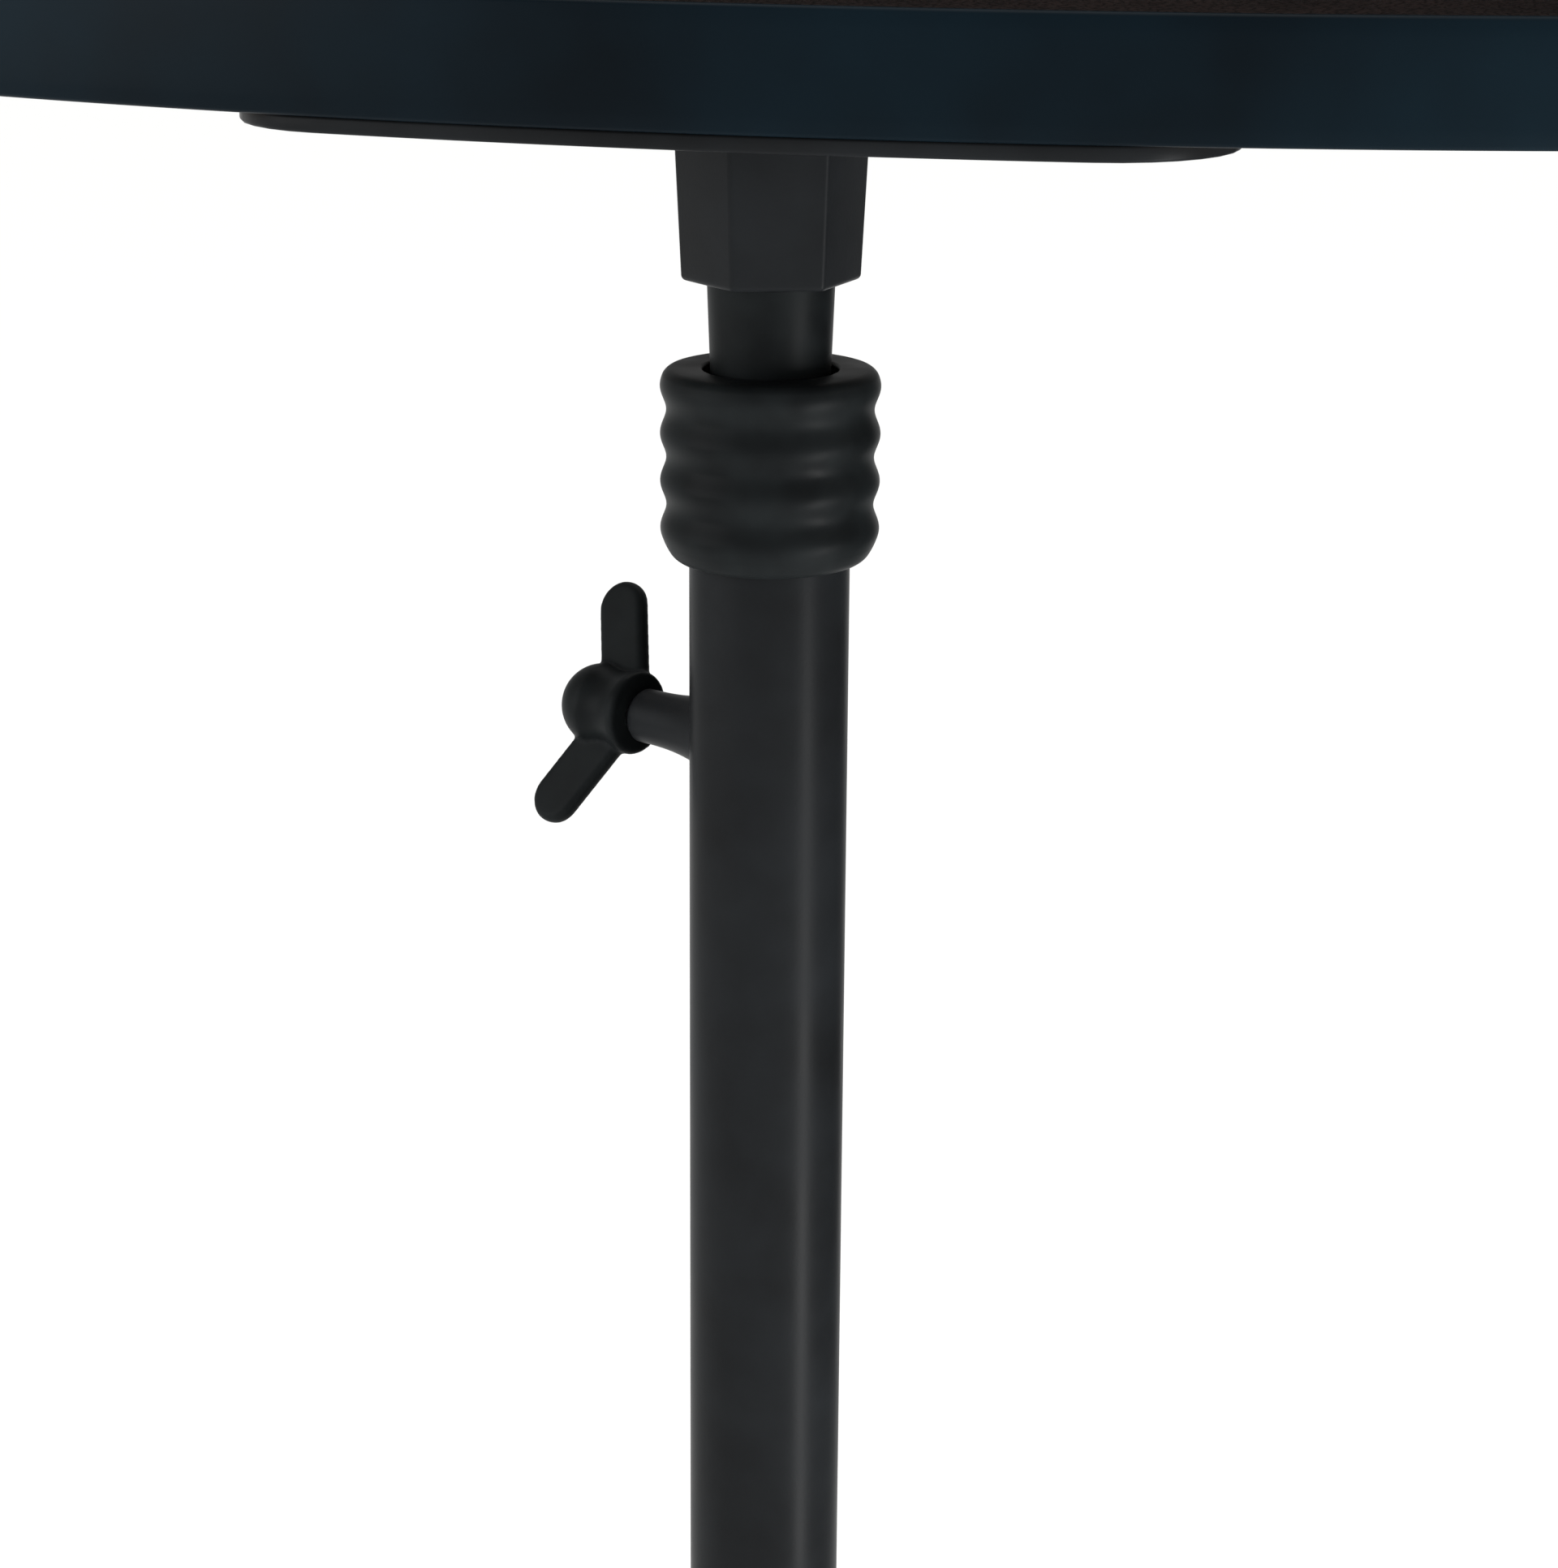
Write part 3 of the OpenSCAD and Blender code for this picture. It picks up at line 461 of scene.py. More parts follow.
def moulded_rubber():
    """Moulded rubber: matt black, dusty where it is handled, with a coarse mould grain."""
    made, tree, shader, at = surface("moulded_rubber")
    grain = add(tree, "TexNoise", {"Vector": at, "Scale": per_metre(0.6 * MM), "Detail": 4.0})
    dust = add(tree, "TexNoise", {"Vector": at, "Scale": per_metre(6 * MM), "Detail": 4.0})
    tree.links.new(varied(tree, dust.outputs[0], "#0c0c0c", "#171716"), shader.inputs["Base Color"])
    tree.links.new(ranged(tree, dust.outputs[0], 0.66, 0.82), shader.inputs["Roughness"])
    bump = add(tree, "Bump", {"Height": grain.outputs[0], "Strength": 0.5, "Distance": 0.05 * MM})
    tree.links.new(bump.outputs[0], shader.inputs["Normal"])
    return made


FINISH = {
    "black_steel": powder_coat(),
    "black_nylon": moulded_nylon(),
    "edge_band": edge_band(),
    "leatherette": leatherette(),
    "board": fibre_board(),
    "white_nylon": natural_nylon(),
    "zinc_steel": plated("zinc_plate", "#7d8082", "#a9adb0", 0.3, 0.45),
    "brass": plated("turned_brass", "#a88443", "#cfae68", 0.25, 0.4),
    "foot_rubber": moulded_rubber(),
}


# ---- the camera, the light and the floor ----
def make_camera():
    """Stands before the object and to its right, looks down at it, and is rolled a little.

    Its place is a point on a circle round the post, and its axes follow from yaw, pitch and roll.
    """
    azimuth = math.radians(14.338)
    yaw = azimuth - math.radians(0.193)
    pitch = math.radians(17.669)
    roll = math.radians(0.397)
    away = 510.113 * MM
    above_collar = 95.705 * MM
    level = Vector((-math.sin(yaw), math.cos(yaw), 0))
    right = Vector((math.cos(yaw), math.sin(yaw), 0))
    forward = level * math.cos(pitch) - Vector((0, 0, math.sin(pitch)))
    up = right.cross(forward)
    side = right * math.cos(roll) + up * math.sin(roll)
    top = up * math.cos(roll) - right * math.sin(roll)
    data = bpy.data.cameras.new("camera")
    data.lens = 77.44
    data.clip_start = 0.01
    camera = bpy.data.objects.new("camera", data)
    bpy.context.scene.collection.objects.link(camera)
    place = Matrix((side, top, -forward)).transposed().to_4x4()
    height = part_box("collar")[1].z + above_collar
    place.translation = (away * math.sin(azimuth), -away * math.cos(azimuth), height)
    camera.matrix_world = place
    bpy.context.scene.camera = camera


def softbox(name, size, position, target, power):
    """A large rectangular lamp facing a point."""
    data = bpy.data.lights.new(name, "AREA")
    data.shape = "RECTANGLE"
    data.size, data.size_y = size
    data.energy = power
    lamp = bpy.data.objects.new(name, data)
    lamp.location = position
    facing = Vector(target) - Vector(position)
    lamp.rotation_euler = facing.to_track_quat("-Z", "Y").to_euler()
    lamp.visible_camera = False
    bpy.context.scene.collection.objects.link(lamp)


def flat_paint(name, colour, roughness, specular):
    """Emulsion on what stands round the object: one even colour with no gloss."""
    made, _, shader, _ = surface(name)
    shader.inputs["Base Color"].default_value = linear(colour)
    shader.inputs["Roughness"].default_value = roughness
    shader.inputs["Specular IOR Level"].default_value = specular
    return made


def backdrop(name, corners, material):
    """One flat face that isn't part of the object."""
    mesh = bpy.data.meshes.new(name)
    mesh.from_pydata(corners, [], [list(range(len(corners)))])
    mesh.materials.append(material)
    made = bpy.data.objects.new(name, mesh)
    bpy.context.scene.collection.objects.link(made)
    return made


def make_lights():
    """A pale sky, an overhead glow and three softboxes."""
    world = bpy.data.worlds.new("studio")
    world.use_nodes = True
    sky = world.node_tree.nodes["Background"]
    sky.inputs["Color"].default_value = (1, 1, 1, 1)
    sky.inputs["Strength"].default_value = 0.5
    bpy.context.scene.world = world
    bpy.context.scene.view_settings.view_transform = "Standard"
    glow = bpy.data.lights.new("overhead", "SUN")
    glow.energy = 2.0
    glow.angle = math.radians(70)
    overhead = bpy.data.objects.new("overhead", glow)
    overhead.rotation_euler = (math.radians(-12), math.radians(8), 0)
    bpy.context.scene.collection.objects.link(overhead)
    tube = (0, 0, 0.42)
    hub = (0, 0, 0.64)
    post = (0, 0, 0.5)
    softbox("strip_right", (0.09, 0.26), (0.56, -0.2, 0.23), tube, 2.7)
    softbox("strip_upper", (0.09, 0.14), (0.56, -0.2, 0.46), hub, 1.2)
    softbox("fill_left", (1.6, 1.2), (-1.5, -1.0, 1.0), post, 18)


def make_backdrops():
    """A matt black card standing beside the object, which keeps light off its right side, and a round
    floor that reaches the horizon."""
    near = (0.345, -0.016)
    far = (0.209, 0.517)
    low = 0.2
    high = 1.05
    corners = [(*near, low), (*far, low), (*far, high), (*near, high)]
    card = backdrop("card_right", corners, flat_paint("card_black", "#0a0a0a", 1.0, 0.0))
    card.visible_camera = False
    radius = 90.0
    sides = 120
    rim = arc((0, 0), radius, 0, 360 - 360 / sides, sides)
    backdrop("floor", np.insert(rim, 2, 0, 1).tolist(), flat_paint("floor_paint", "#f4f4f3", 0.9, 0.1))


# ---- the shelf ----
def make_shelf():
    """The edge band, the mat and the mounting plate. The band's face bulges by the square of the
    distance from its ends, between two round lips."""
    low, high = SHELF_LOW.z, SHELF_HIGH.z
    height = high - low
    lip_x = -BAND_LIP - BAND_CROWN
    back_edge = 0.4 * MM
    rise = np.linspace(BAND_LIP, height - BAND_LIP, 9)
    face = -BAND_CROWN * ((2 * rise / height - 1) ** 2)
    section = np.concatenate([
        arc((lip_x, BAND_LIP), BAND_LIP, -90, -15, 5),
        np.column_stack([face, rise])[1:-1],
        arc((lip_x, height - BAND_LIP), BAND_LIP, 15, 165, 9),
        arc((back_edge - BAND_WALL, back_edge), back_edge, 180, 270, 4),
    ])
    rings = [np.insert(shelf_edge(-offset), 2, low + z, 1) for offset, z in section]
    piece("edge_band", [loft(np.array(rings).transpose(1, 0, 2))], FINISH["edge_band"],
          "mast", "edge_band", "fascia_band")

    mat_low, mat_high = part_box("shelf_mat")

    def mat_outline(inset):
        return shelf_edge(BAND_WALL + SLIT + inset)
    piece("shelf_mat_skin", [slab(mat_outline, mat_low.z, mat_high.z, MAT_EDGE)],
          FINISH["leatherette"], "mast", "leatherette", "shelf_mat")

    plate_low, plate_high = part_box("mounting_plate")
    radius = BOW_Y - plate_low.y

    def plate_outline(inset):
        return bowed_outline(inset, radius, BOW_Y, plate_high.x, plate_high.y,
                             PLATE_CORNER_R, PLATE_CORNER_R)
    piece("shelf_plate", [slab(plate_outline, plate_low.z, plate_high.z, PLATE_EDGE)],
          FINISH["black_steel"], "mast", "black_steel", "mounting_plate")


# ---- the rest panel ----
def lean_matrix():
    """From the panel's own axes, with the tilt axis as origin and Z up the panel, to the frame."""
    return Matrix.Translation(joint("panel_tilt")["pos_m"]) @ Matrix.Rotation(-PANEL_LEAN, 4, "X")


def make_panel():
    """The leatherette skin and the trim round the panel."""
    rest = np.array(lean_matrix().inverted())
    skin = np.array([c.co for c in frame["nodes"]["panel_skin"].data.vertices])
    trim = np.array([c.co for c in frame["nodes"]["panel_trim"].data.vertices])
    skin_low, skin_high = placed(skin, rest).min(0), placed(skin, rest).max(0)
    trim_low, trim_high = placed(trim, rest).min(0), placed(trim, rest).max(0)
    height = trim_high[2] - trim_low[2]
    wall = trim_high[0] - skin_high[0]

    def outline(inset):
        return bowed_outline(inset, CROWN_R, CROWN_R - height, trim_high[0], 0,
                             PANEL_TOP_R, PANEL_FOOT_R)

    def upright(shell):
        """Drawn lying with its crowned edge at -Y, then stood up with its front at -Y."""
        points, faces = shell
        stood = np.column_stack([points[:, 0], -points[:, 2], trim_low[2] - points[:, 1]])
        return placed(stood, lean_matrix()), faces

    def skin_outline(inset):
        return outline(wall + SLIT + inset)
    front, back = -skin_low[1], -skin_high[1]
    piece("panel_cover", [upright(slab(skin_outline, back, front, SKIN_EDGE))],
          FINISH["leatherette"], "panel", "leatherette", "panel_skin")
    section = rounded_section((-wall, -trim_high[1]), (0, -trim_low[1]), BAND_LIP)
    rings = [np.insert(outline(-offset), 2, depth, 1) for offset, depth in section]
    piece("panel_edge", [upright(loft(rings, closed=True))], FINISH["edge_band"],
          "panel", "edge_band", "panel_trim")


# ---- the hub, the neck, the collar and the tubes ----
def make_hub():
    """A tapered hexagon with soft corners, its lower edge eased by a quarter circle."""
    low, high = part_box("hub")[0].z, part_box("hub")[1].z
    angle = np.radians(np.linspace(0, 90, 6))
    side = np.linspace(low + 2 * HUB_EDGE, high, 8)
    inset = np.concatenate([HUB_EDGE * (1 - np.sin(angle)), np.zeros(8)])
    heights = np.concatenate([low + HUB_EDGE * (1 - np.cos(angle)), side])
    radius = np.interp(heights, (low, high), HUB_R) - inset
    rings = [np.insert(rounded_hexagon(r, HUB_CORNER, HUB_TURN), 2, z, 1)
             for r, z in zip(radius, heights)]
    piece("hub_casting", [loft(rings)], FINISH["black_steel"], "mast", "black_steel", "hub", sharp=50)


def make_neck():
    """A slightly tapered sleeve on the mast, its lower end in the collar."""
    low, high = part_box("neck_sleeve")[0].z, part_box("neck_sleeve")[1].z
    foot_r, top_r = NECK_R
    section = [(MAST_R, low), (foot_r - NECK_EDGE, low), (foot_r, low + NECK_EDGE),
               (top_r, high - NECK_EDGE), (top_r - NECK_EDGE, high), (MAST_R, high)]
    piece("neck", [revolve(section)], FINISH["black_nylon"], "mast", "black_nylon", "neck_sleeve")


def eased(depth, edge):
    """How far a quarter circle of radius edge cuts in, at a depth from the end that it rounds."""
    short = np.clip(edge - depth, 0, edge)
    return edge - np.sqrt(edge ** 2 - short ** 2)


def make_collar():
    """Ribs that follow a cosine down the side, with a round edge at each end."""
    low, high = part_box("collar")[0].z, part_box("collar")[1].z
    depth = np.linspace(0, high - low, 181)
    last_groove = RIB_START + (RIBS - 0.5) * RIB_PITCH
    turn = 2 * np.pi * (np.minimum(depth, last_groove) - RIB_START) / RIB_PITCH
    side = RIB_R - GROOVE / 2 * (1 - np.cos(turn)) - eased(depth, COLLAR_TOP_EDGE)
    side -= eased(high - low - depth, COLLAR_FOOT_EDGE)
    mouth = NECK_R[1] + HEAD_GAP
    throat = MAST_R + COLLAR_ROOM
    mouth_floor = high - NECK_SUNK
    tube_end = mouth_floor - COLLAR_FLOOR
    mouth_top = high - COLLAR_MOUTH_EDGE
    inside = [(TUBE_R, low), (TUBE_R, tube_end), (throat, tube_end), (throat, mouth_floor),
              (mouth, mouth_floor), (mouth, mouth_top)]
    lip = arc((mouth + COLLAR_MOUTH_EDGE, mouth_top), COLLAR_MOUTH_EDGE, 180, 90, 5)
    section = np.concatenate([np.column_stack([side, high - depth]), inside, lip])
    piece("ribbed_collar", [revolve(section, 160)], FINISH["black_nylon"], "stand", "black_nylon",
          "collar")


def on_post(azimuth, height):
    """From a piece drawn along +X to its direction and height on the post."""
    return Matrix.Translation((0, 0, height)) @ Matrix.Rotation(azimuth, 4, "Z")


def box_centre(node):
    """The middle of a CAD node's box."""
    low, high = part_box(node)
    return (low + high) / 2


def drill(made, shell):
    """Cuts a closed shell out of a piece, and keeps the result as the piece's own mesh."""
    points, faces = shell
    mesh = bpy.data.meshes.new("bit")
    mesh.from_pydata(points.tolist(), [], outward(points, faces))
    bit = bpy.data.objects.new("bit", mesh)
    bpy.context.scene.collection.objects.link(bit)
    cut = made.modifiers.new("cut", "BOOLEAN")
    cut.operation = "DIFFERENCE"
    cut.solver = "EXACT"
    cut.object = bit
    keep_result(made)
    made.data.set_sharp_from_angle(angle=math.radians(35))
    bpy.data.objects.remove(bit)


def keep_result(made):
    """Makes what a piece's modifiers give its own mesh, and clears them."""
    found = made.evaluated_get(bpy.context.evaluated_depsgraph_get())
    mesh = bpy.data.meshes.new_from_object(found)
    made.modifiers.clear()
    made.data = mesh


def make_tubes():
    """The outer tube, drilled for its clamp screw, and the mast."""
    def tube(name, node, body, radius):
        low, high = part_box(node)[0].z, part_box(node)[1].z
        wall = tube_wall(radius, radius - TUBE_WALL, low, high, TUBE_EDGE)
        return piece(name, [revolve(wall, 128)], FINISH["black_steel"], body, "black_steel", node)
    post = tube("post_tube", "outer_tube", "stand", TUBE_R)
    points, faces = revolve([(STUD_R, MAST_R), (STUD_R, 2 * TUBE_R)], 48, True, False)
    across = Matrix.Rotation(math.pi / 2, 4, "Y")
    place = on_post(CLAMP_AZ, box_centre("clamp_boss").z) @ across
    drill(post, (placed(points, place), faces))
    tube("inner_tube", "mast_tube", "mast", MAST_R)


def make_boss():
    """A round boss whose root spreads onto the tube: each line along it starts on the tube's surface,
    and the flare of its radius falls off as the cube of the distance that is left."""
    height = box_centre("clamp_boss").z
    around = np.linspace(0, 2 * np.pi, 64, endpoint=False)
    share = np.linspace(0, 1, 22)[:, None]
    radius = BOSS_R + BOSS_FLARE * (1 - share) ** 3
    radius = radius - eased((1 - share) * (BOSS_END - TUBE_R), BOSS_EDGE)
    y = radius * np.cos(around)
    z = radius * np.sin(around)
    root = np.sqrt(TUBE_R ** 2 - y ** 2) - BOSS_SUNK
    x = root + (BOSS_END - root) * share
    outer = np.stack([x, y, z], -1)
    bore_y = STUD_R * np.cos(around)
    bore_z = STUD_R * np.sin(around)
    bore_x = np.sqrt(TUBE_R ** 2 - bore_y ** 2) - BOSS_SUNK
    bore = [np.stack([at, bore_y, bore_z], -1) for at in (np.full(64, BOSS_END), bore_x)]
    points, faces = loft(np.concatenate([outer, bore]), closed=True)
    piece("screw_boss", [(placed(points, on_post(CLAMP_AZ, height)), faces)],
          FINISH["black_steel"], "stand", "black_steel", "clamp_boss")


# ---- the wing screws ----
def wing_shell(side):
    """A wing: a plate with parallel sides and a round tip, and an edge rounded like a coin's."""
    half = WING_W / 2

    def outline(inset):
        tip = arc((0, WING_REACH), half - inset, 0, 180, 28)
        return np.concatenate([[(half - inset, STUD_R)], tip, [(inset - half, STUD_R)]])
    points, faces = slab(outline, -WING_T / 2, WING_T / 2, WING_EDGE, 6)
    stood = np.column_stack([points[:, 0], points[:, 2], points[:, 1]])
    place = Matrix.Translation((WING_ROOT, 0, 0)) @ Matrix.Rotation(WING_LEAN, 4, "Y")
    mirror = Matrix.Diagonal((1, 1, side, 1))
    return placed(stood, mirror @ place), faces


def knob_shell():
    """A barrel turned round the screw's axis: a rim, a waist that follows a sine, and a ball end."""
    rim = arc((KNOB_RIM, KNOB_R - KNOB_RIM), KNOB_RIM, 180, 90, 5)
    share = np.linspace(0, 1, 14)
    along = WAIST_START + share * (KNOB_L - WAIST_START)
    thin = KNOB_R - KNOB_WAIST * np.sin(np.pi * share)
    ball = arc((KNOB_L, 0), KNOB_R, 90, 1, 24)
    bore = [(KNOB_L, KNOB_TIP_R), (KNOB_L, STUD_R), (0, STUD_R)]
    section = np.concatenate([rim, np.column_stack([along, thin]), ball[1:], bore])
    points, faces = revolve(section[:, ::-1], 72)
    return points[:, [2, 0, 1]], faces


def blend(made):
    """Joins a piece's shells into one skin on a fine grid and softens the creases between them."""
    remesh = made.modifiers.new("skin", "REMESH")
    remesh.mode = "VOXEL"
    remesh.voxel_size = SKIN_VOXEL
    remesh.use_smooth_shade = True
    smooth = made.modifiers.new("soften", "SMOOTH")
    smooth.iterations = 6
    smooth.factor = 0.5
    keep_result(made)
    made.data.shade_smooth()


def make_wing_heads():
    """Two moulded wing heads, each a barrel and two wings blended into one skin."""
    for screw, turning, azimuth, start, turn in (
            ("clamp", "clamp_turn", CLAMP_AZ, BOSS_END + HEAD_GAP, WING_TURN),
            ("runner", "runner_clamp_turn", RUNNER_AZ, RUNNER_HEAD_START, 0)):
        height = joint(turning)["pos_m"][2]
        place = (on_post(azimuth, height) @ Matrix.Translation((start, 0, 0))
                 @ Matrix.Rotation(turn, 4, "X"))
        shells = [knob_shell(), wing_shell(1), wing_shell(-1)]
        shells = [(placed(points, place), faces) for points, faces in shells]
        blend(piece(f"{screw}_wings", shells, FINISH["black_nylon"], f"{screw}_screw",
                    "black_nylon", f"{screw}_wing_head"))


# ---- the tripod ----
def on_leg(azimuth):
    """From a leg drawn hanging from its pivot to its open place."""
    pivot = Vector(joint("leg_fold_1")["pos_m"])
    lifted = Matrix.Translation((pivot.x, 0, 0)) @ Matrix.Rotation(-LEG_OPEN, 4, "Y")
    return on_post(math.radians(azimuth), pivot.z) @ lifted


def channel_section():
    """A U of sheet steel, its open side towards the post and its two bends round."""
    out, half, thick, bend = LEG_D / 2, LEG_W / 2, LEG_T, LEG_BEND
    outer = np.concatenate([
        [(-out, -half)], arc((out - bend, bend - half), bend, -90, 0, 6),
        arc((out - bend, half - bend), bend, 0, 90, 6), [(-out, half)]])
    inner_bend = bend - thick
    inner = np.concatenate([
        [(-out, half - thick)], arc((out - bend, half - bend), inner_bend, 90, 0, 6),
        arc((out - bend, bend - half), inner_bend, 0, -90, 6), [(-out, thick - half)]])
    return np.concatenate([finer(outer, 4), finer(inner, 4)])


def finer(line, parts):
    """A line's points, with each of its segments cut into equal parts."""
    steps = np.arange((len(line) - 1) * parts + 1) / parts
    return np.column_stack([np.interp(steps, np.arange(len(line)), axis) for axis in line.T])


def strip_ends(points, faces, around):
    """Closes a loft whose rings run out along one side of a wall and back along the other, with quads
    across the wall at each end."""
    near = np.arange(around // 2 - 1)
    far = around - 1 - near
    quads = np.column_stack([near, near + 1, far - 1, far])
    last = len(points) - around
    return points, faces + quads[:, ::-1].tolist() + (quads + last).tolist()


def make_legs():
    """Channel legs whose flanges end in a half circle round the pivot, and ribbed rubber shoes."""
    section = channel_section()
    for number, azimuth in LEGS.items():
        top = np.sqrt(np.maximum((LEG_D / 2) ** 2 - section[:, 0] ** 2, 0))
        rings = [np.column_stack([section, top * (share == 0) - LEG_L * share])
                 for share in np.linspace(0, 1, 16)]
        points, faces = strip_ends(*loft(rings, capped=False), len(section))
        piece(f"leg_channel_{number}", [(placed(points, on_leg(azimuth)), faces)],
              FINISH["black_steel"], f"leg_{number}", "black_steel", f"leg_{number}")
        piece(f"shoe_{number}", [shoe_shell(azimuth)], FINISH["foot_rubber"], f"leg_{number}",
              "foot_rubber", f"foot_{number}", sharp=60)


def shoe_shell(azimuth):
    """A shoe: sections with soft corners down the leg, a round heel, and ribs that follow the upper
    halves of a sine. What would pass through the floor is pressed flat on it."""
    heel = -FOOT_R * np.sin(np.radians(np.linspace(2, 88, 24)))
    along = np.concatenate([np.linspace(SHOE_L, 0, 60), heel])
    ball = np.sqrt(np.maximum(FOOT_R ** 2 - along ** 2, 0))
    shank = np.where(along > 0, LEG_D / 2 + SHOE_WALL, 0)
    ribbed = (along > SHOE_RIB_START) & (along < SHOE_RIB_END)
    rib = SHOE_RIB * np.maximum(np.sin(2 * np.pi * along / SHOE_RIB_PITCH), 0) * ribbed
    mouth = eased(SHOE_L - along, SHOE_EDGE)
    depth = np.maximum(shank, ball) + rib - mouth
    width = LEG_W / 2 + SHOE_WALL + rib - mouth - eased(along + FOOT_R, HEEL_EDGE)
    turn = np.linspace(0, 2 * np.pi, 72, endpoint=False)
    square = 0.28
    x = np.sign(np.cos(turn)) * np.abs(np.cos(turn)) ** square
    y = np.sign(np.sin(turn)) * np.abs(np.sin(turn)) ** square
    rings = np.stack([depth[:, None] * x, width[:, None] * y,
                      (along - LEG_L)[:, None] + 0 * turn], -1)
    points, faces = loft(rings)
    points = placed(points, on_leg(azimuth))
    points[:, 2] = np.maximum(points[:, 2], 0)
    return points, faces


# ---- fasteners ----
def rivet_shell(centre, direction, length, shank, head_r, head_h):
    """A rivet along a direction: a shank between two heads, each a flat dome that falls off with the
    cube of the radius."""
    half = length / 2
    share = np.linspace(0.03, 1, 9)
    dome = np.column_stack([head_r * share, half - 0.45 * head_h * share ** 3])
    side = [(head_r, half - head_h), (shank, half - head_h)]
    upper = np.concatenate([dome, side])
    lower = upper[::-1] * (1, -1)
    points, faces = revolve(np.concatenate([upper, lower]), 32, capped=True, closed=False)
    turn = Vector(direction).to_track_quat("Z", "Y").to_matrix().to_4x4()
    return placed(points, Matrix.Translation(centre) @ turn), faces


def make_rivets():
    """The tripod's rivets and the panel's hinge pins."""
    def along(number):
        angle = math.radians(LEGS[number])
        return (-math.sin(angle), math.cos(angle), 0)
    length = CROWN_RIVET_GRIP + 2 * RIVET["head_h"]
    shells = [rivet_shell(joint(f"leg_fold_{n}")["pos_m"], along(n), length, **RIVET) for n in LEGS]
    piece("crown_rivets", shells, FINISH["zinc_steel"], "stand", "zinc_steel", "leg_rivets")
    for n in LEGS:
        for label, node, body in (("brace_pivot", "brace_rivet", "leg"),
                                  ("runner_pivot", "runner_rivet", "brace")):
            low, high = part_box(f"{node}_1")
            shell = rivet_shell(box_centre(f"{node}_{n}"), along(n), (high - low).y, **RIVET)
            piece(f"{label}_{n}", [shell], FINISH["zinc_steel"], f"{body}_{n}", "zinc_steel",
                  f"{node}_{n}")
    tilt = Vector(joint("panel_tilt")["pos_m"])
    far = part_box("hinge_rivets")[1].x
    middle = (far + HINGE_PIN_NEAR) / 2
    shells = [rivet_shell((side * middle, tilt.y, tilt.z), (1, 0, 0), far - HINGE_PIN_NEAR, **HINGE_PIN)
              for side in (-1, 1)]
    piece("hinge_pins", shells, FINISH["zinc_steel"], "mast", "zinc_steel", "hinge_rivets")


def pan_head_shell(matrix, bite):
    """A pan-head screw drawn with its head below the origin: the head's face is a shallow dome with a
    cross cut into it, a depth that grows where a point is near either arm and near the middle."""
    turn = np.linspace(0, 2 * np.pi, 64, endpoint=False)
    radius = np.linspace(0.02, 1, 20)[:, None] * SCREW_HEAD_R
    x, y = radius * np.cos(turn), radius * np.sin(turn)
    dome = SCREW_HEAD_H * (1 - 0.35 * (radius / SCREW_HEAD_R) ** 4)
    near_arm = np.clip((CROSS_ARM - np.minimum(np.abs(x), np.abs(y))) / CROSS_SLOPE, 0, 1)
    near_middle = np.clip((CROSS_REACH - radius) / CROSS_SLOPE, 0, 1)
    face = np.stack([x, y, -(dome - CROSS_DEPTH * near_arm * near_middle)], -1)
    rim = [[SCREW_HEAD_R, 0], [SCREW_R, 0], [SCREW_R, bite], [SCREW_TIP_R, bite]]
    rest = [np.stack([r * np.cos(turn), r * np.sin(turn), np.full(64, z)], -1) for r, z in rim]
    points, faces = loft(np.concatenate([face, rest]))
    return placed(points, matrix), faces


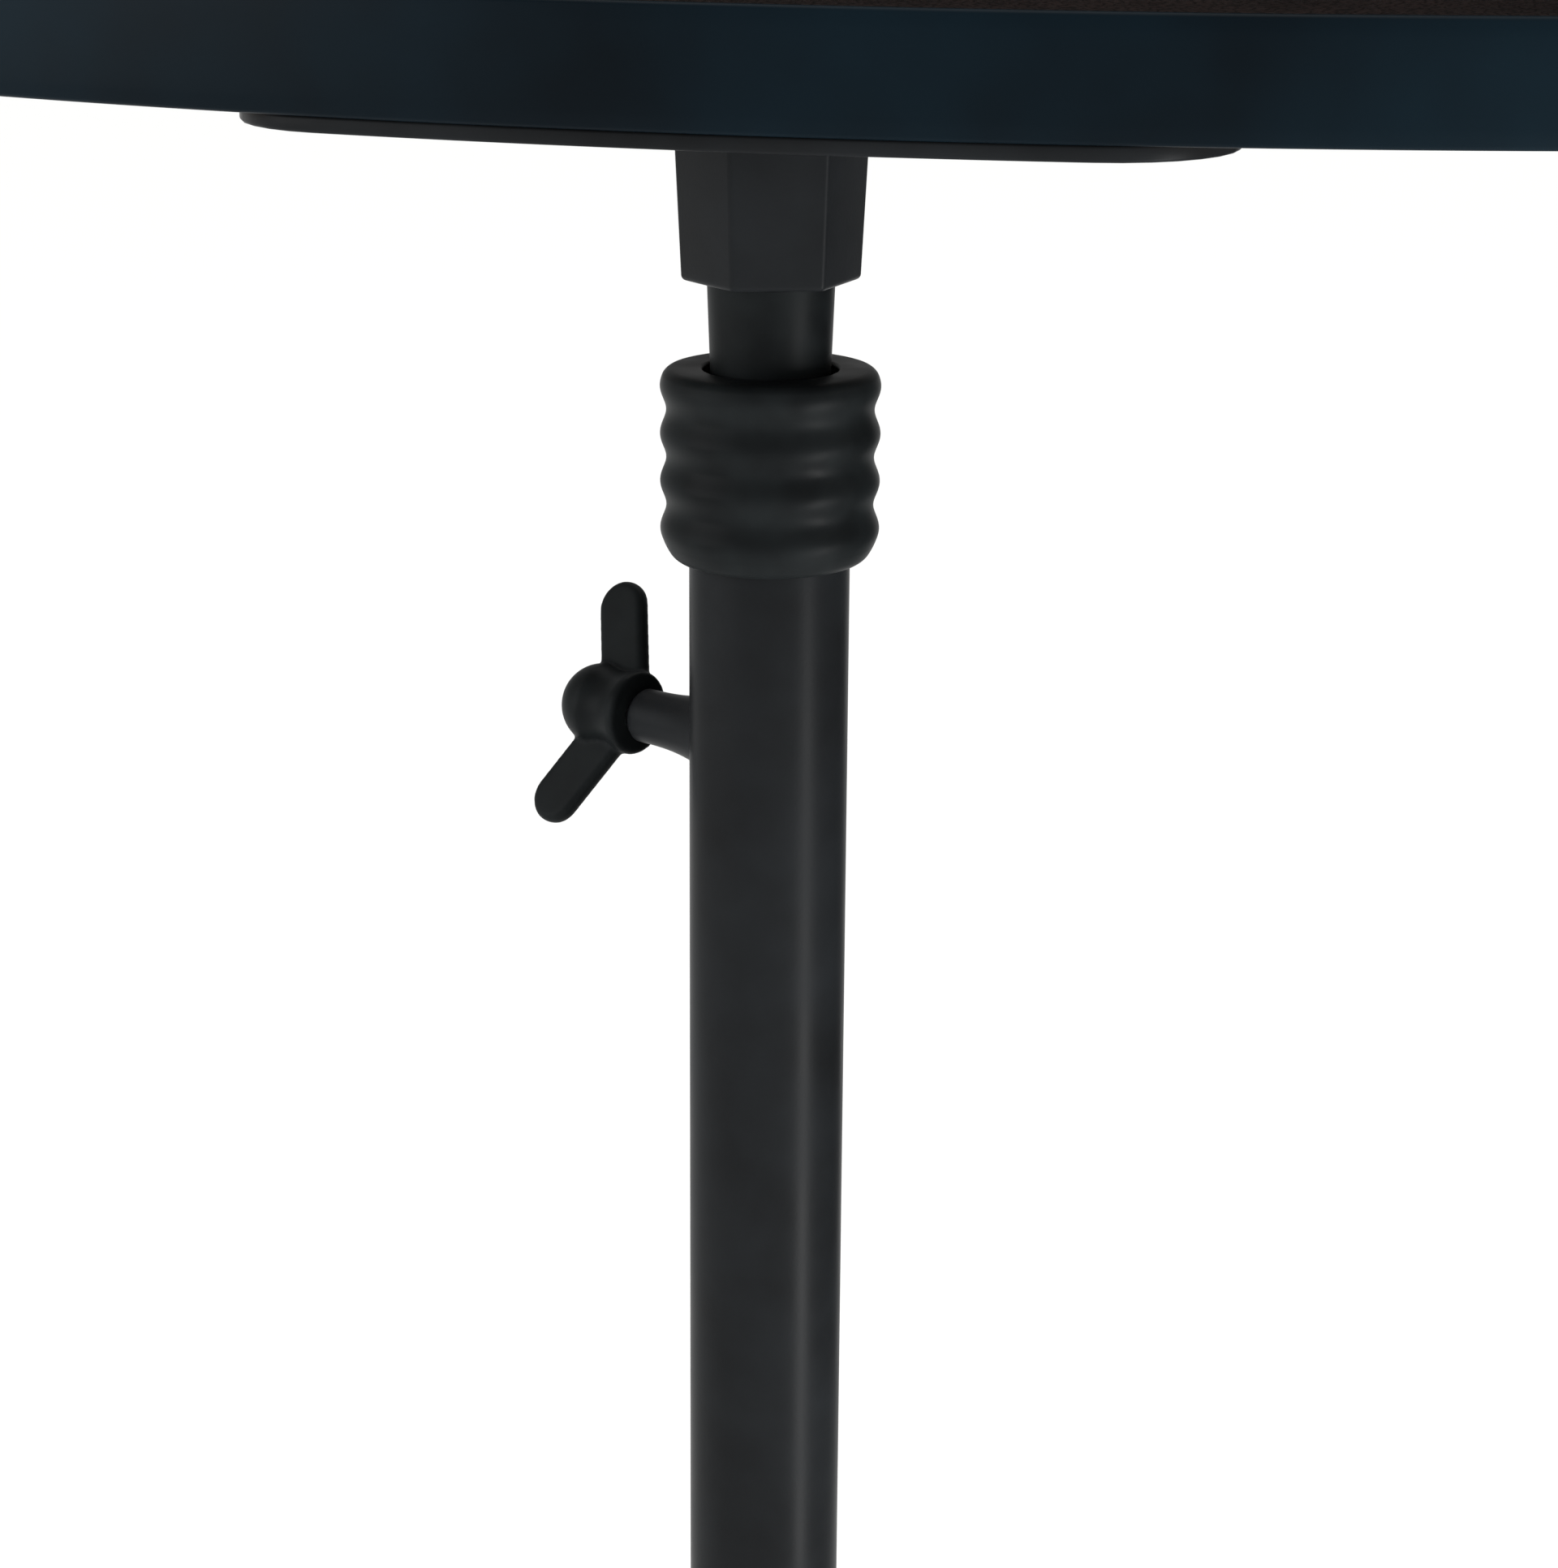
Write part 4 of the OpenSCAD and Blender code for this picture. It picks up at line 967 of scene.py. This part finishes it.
def cad_islands(node, axis):
    """Each of a CAD node's separate solids, as its middle and its two ends along an axis. Seen along
    that axis, the points of one solid lie closer together than the screws stand apart."""
    points = np.unique(np.round([v.co for v in frame["nodes"][node].data.vertices], 5), axis=0)
    across = points - np.outer(points @ axis, axis)
    apart = 8 * MM
    islands = []
    left = np.ones(len(points), bool)
    while left.any():
        near = left & (np.linalg.norm(across - across[left][0], axis=1) < apart)
        ends = points[near] @ axis
        middle = (across[near].min(0) + across[near].max(0)) / 2
        islands.append((middle, ends.min(), ends.max()))
        left &= ~near
    return islands


def make_screws():
    """Pan-head screws with a cross recess, where the frame has its plain ones."""
    up = np.array((0.0, 0.0, 1.0))
    to_front = np.array(lean_matrix().to_3x3() @ Vector((0, -1, 0)))
    for name, node, body, axis in (("plate_fixings", "plate_screws", "mast", up),
                                   ("bracket_fixings", "bracket_screws", "mast", up),
                                   ("ear_fixings", "ear_screws", "panel", to_front)):
        turn = Vector(axis).to_track_quat("Z", "Y").to_matrix().to_4x4()
        shells = []
        for middle, start, end in cad_islands(node, axis):
            under_head = start + SCREW_HEAD_H
            place = Matrix.Translation(Vector(middle + axis * under_head)) @ turn
            shells.append(pan_head_shell(place, end - under_head))
        piece(name, shells, FINISH["zinc_steel"], body, "zinc_steel", node)


# ---- CAD nodes that stay ----
# Widths of the eased edges in millimetres: the usual one, and those of the nodes that differ
USUAL_EDGE = 0.25
EDGE = {"leg_crown": 0.6, "runner": 0.6, "tube_plug": 0.5, "shelf_board": 0.4, "panel_board": 0.4,
        "brace_1": 0.4, "brace_2": 0.4, "brace_3": 0.4}


def finish_frame():
    """Gives each CAD node its finish, and eases the edges of those that show."""
    slots = {p["node"]: p["material_slot"] for p in frame["record"]["subparts"]}
    for name, node in frame["nodes"].items():
        node.data.materials.clear()
        node.data.materials.append(FINISH[slots[name]])
        if node.hide_render:
            continue
        weld = node.modifiers.new("weld", "WELD")
        weld.merge_threshold = 0.001 * MM
        flat = node.modifiers.new("flat", "DECIMATE")
        flat.decimate_type = "DISSOLVE"
        flat.angle_limit = math.radians(0.5)
        bevel = node.modifiers.new("ease", "BEVEL")
        bevel.width = EDGE.get(name, USUAL_EDGE) * MM
        bevel.segments = 2
        bevel.limit_method = "ANGLE"
        bevel.angle_limit = math.radians(40)
        bevel.harden_normals = True


make_camera()
make_lights()
make_backdrops()
make_shelf()
make_panel()
make_hub()
make_neck()
make_collar()
make_tubes()
make_boss()
make_wing_heads()
make_legs()
make_rivets()
make_screws()
finish_frame()
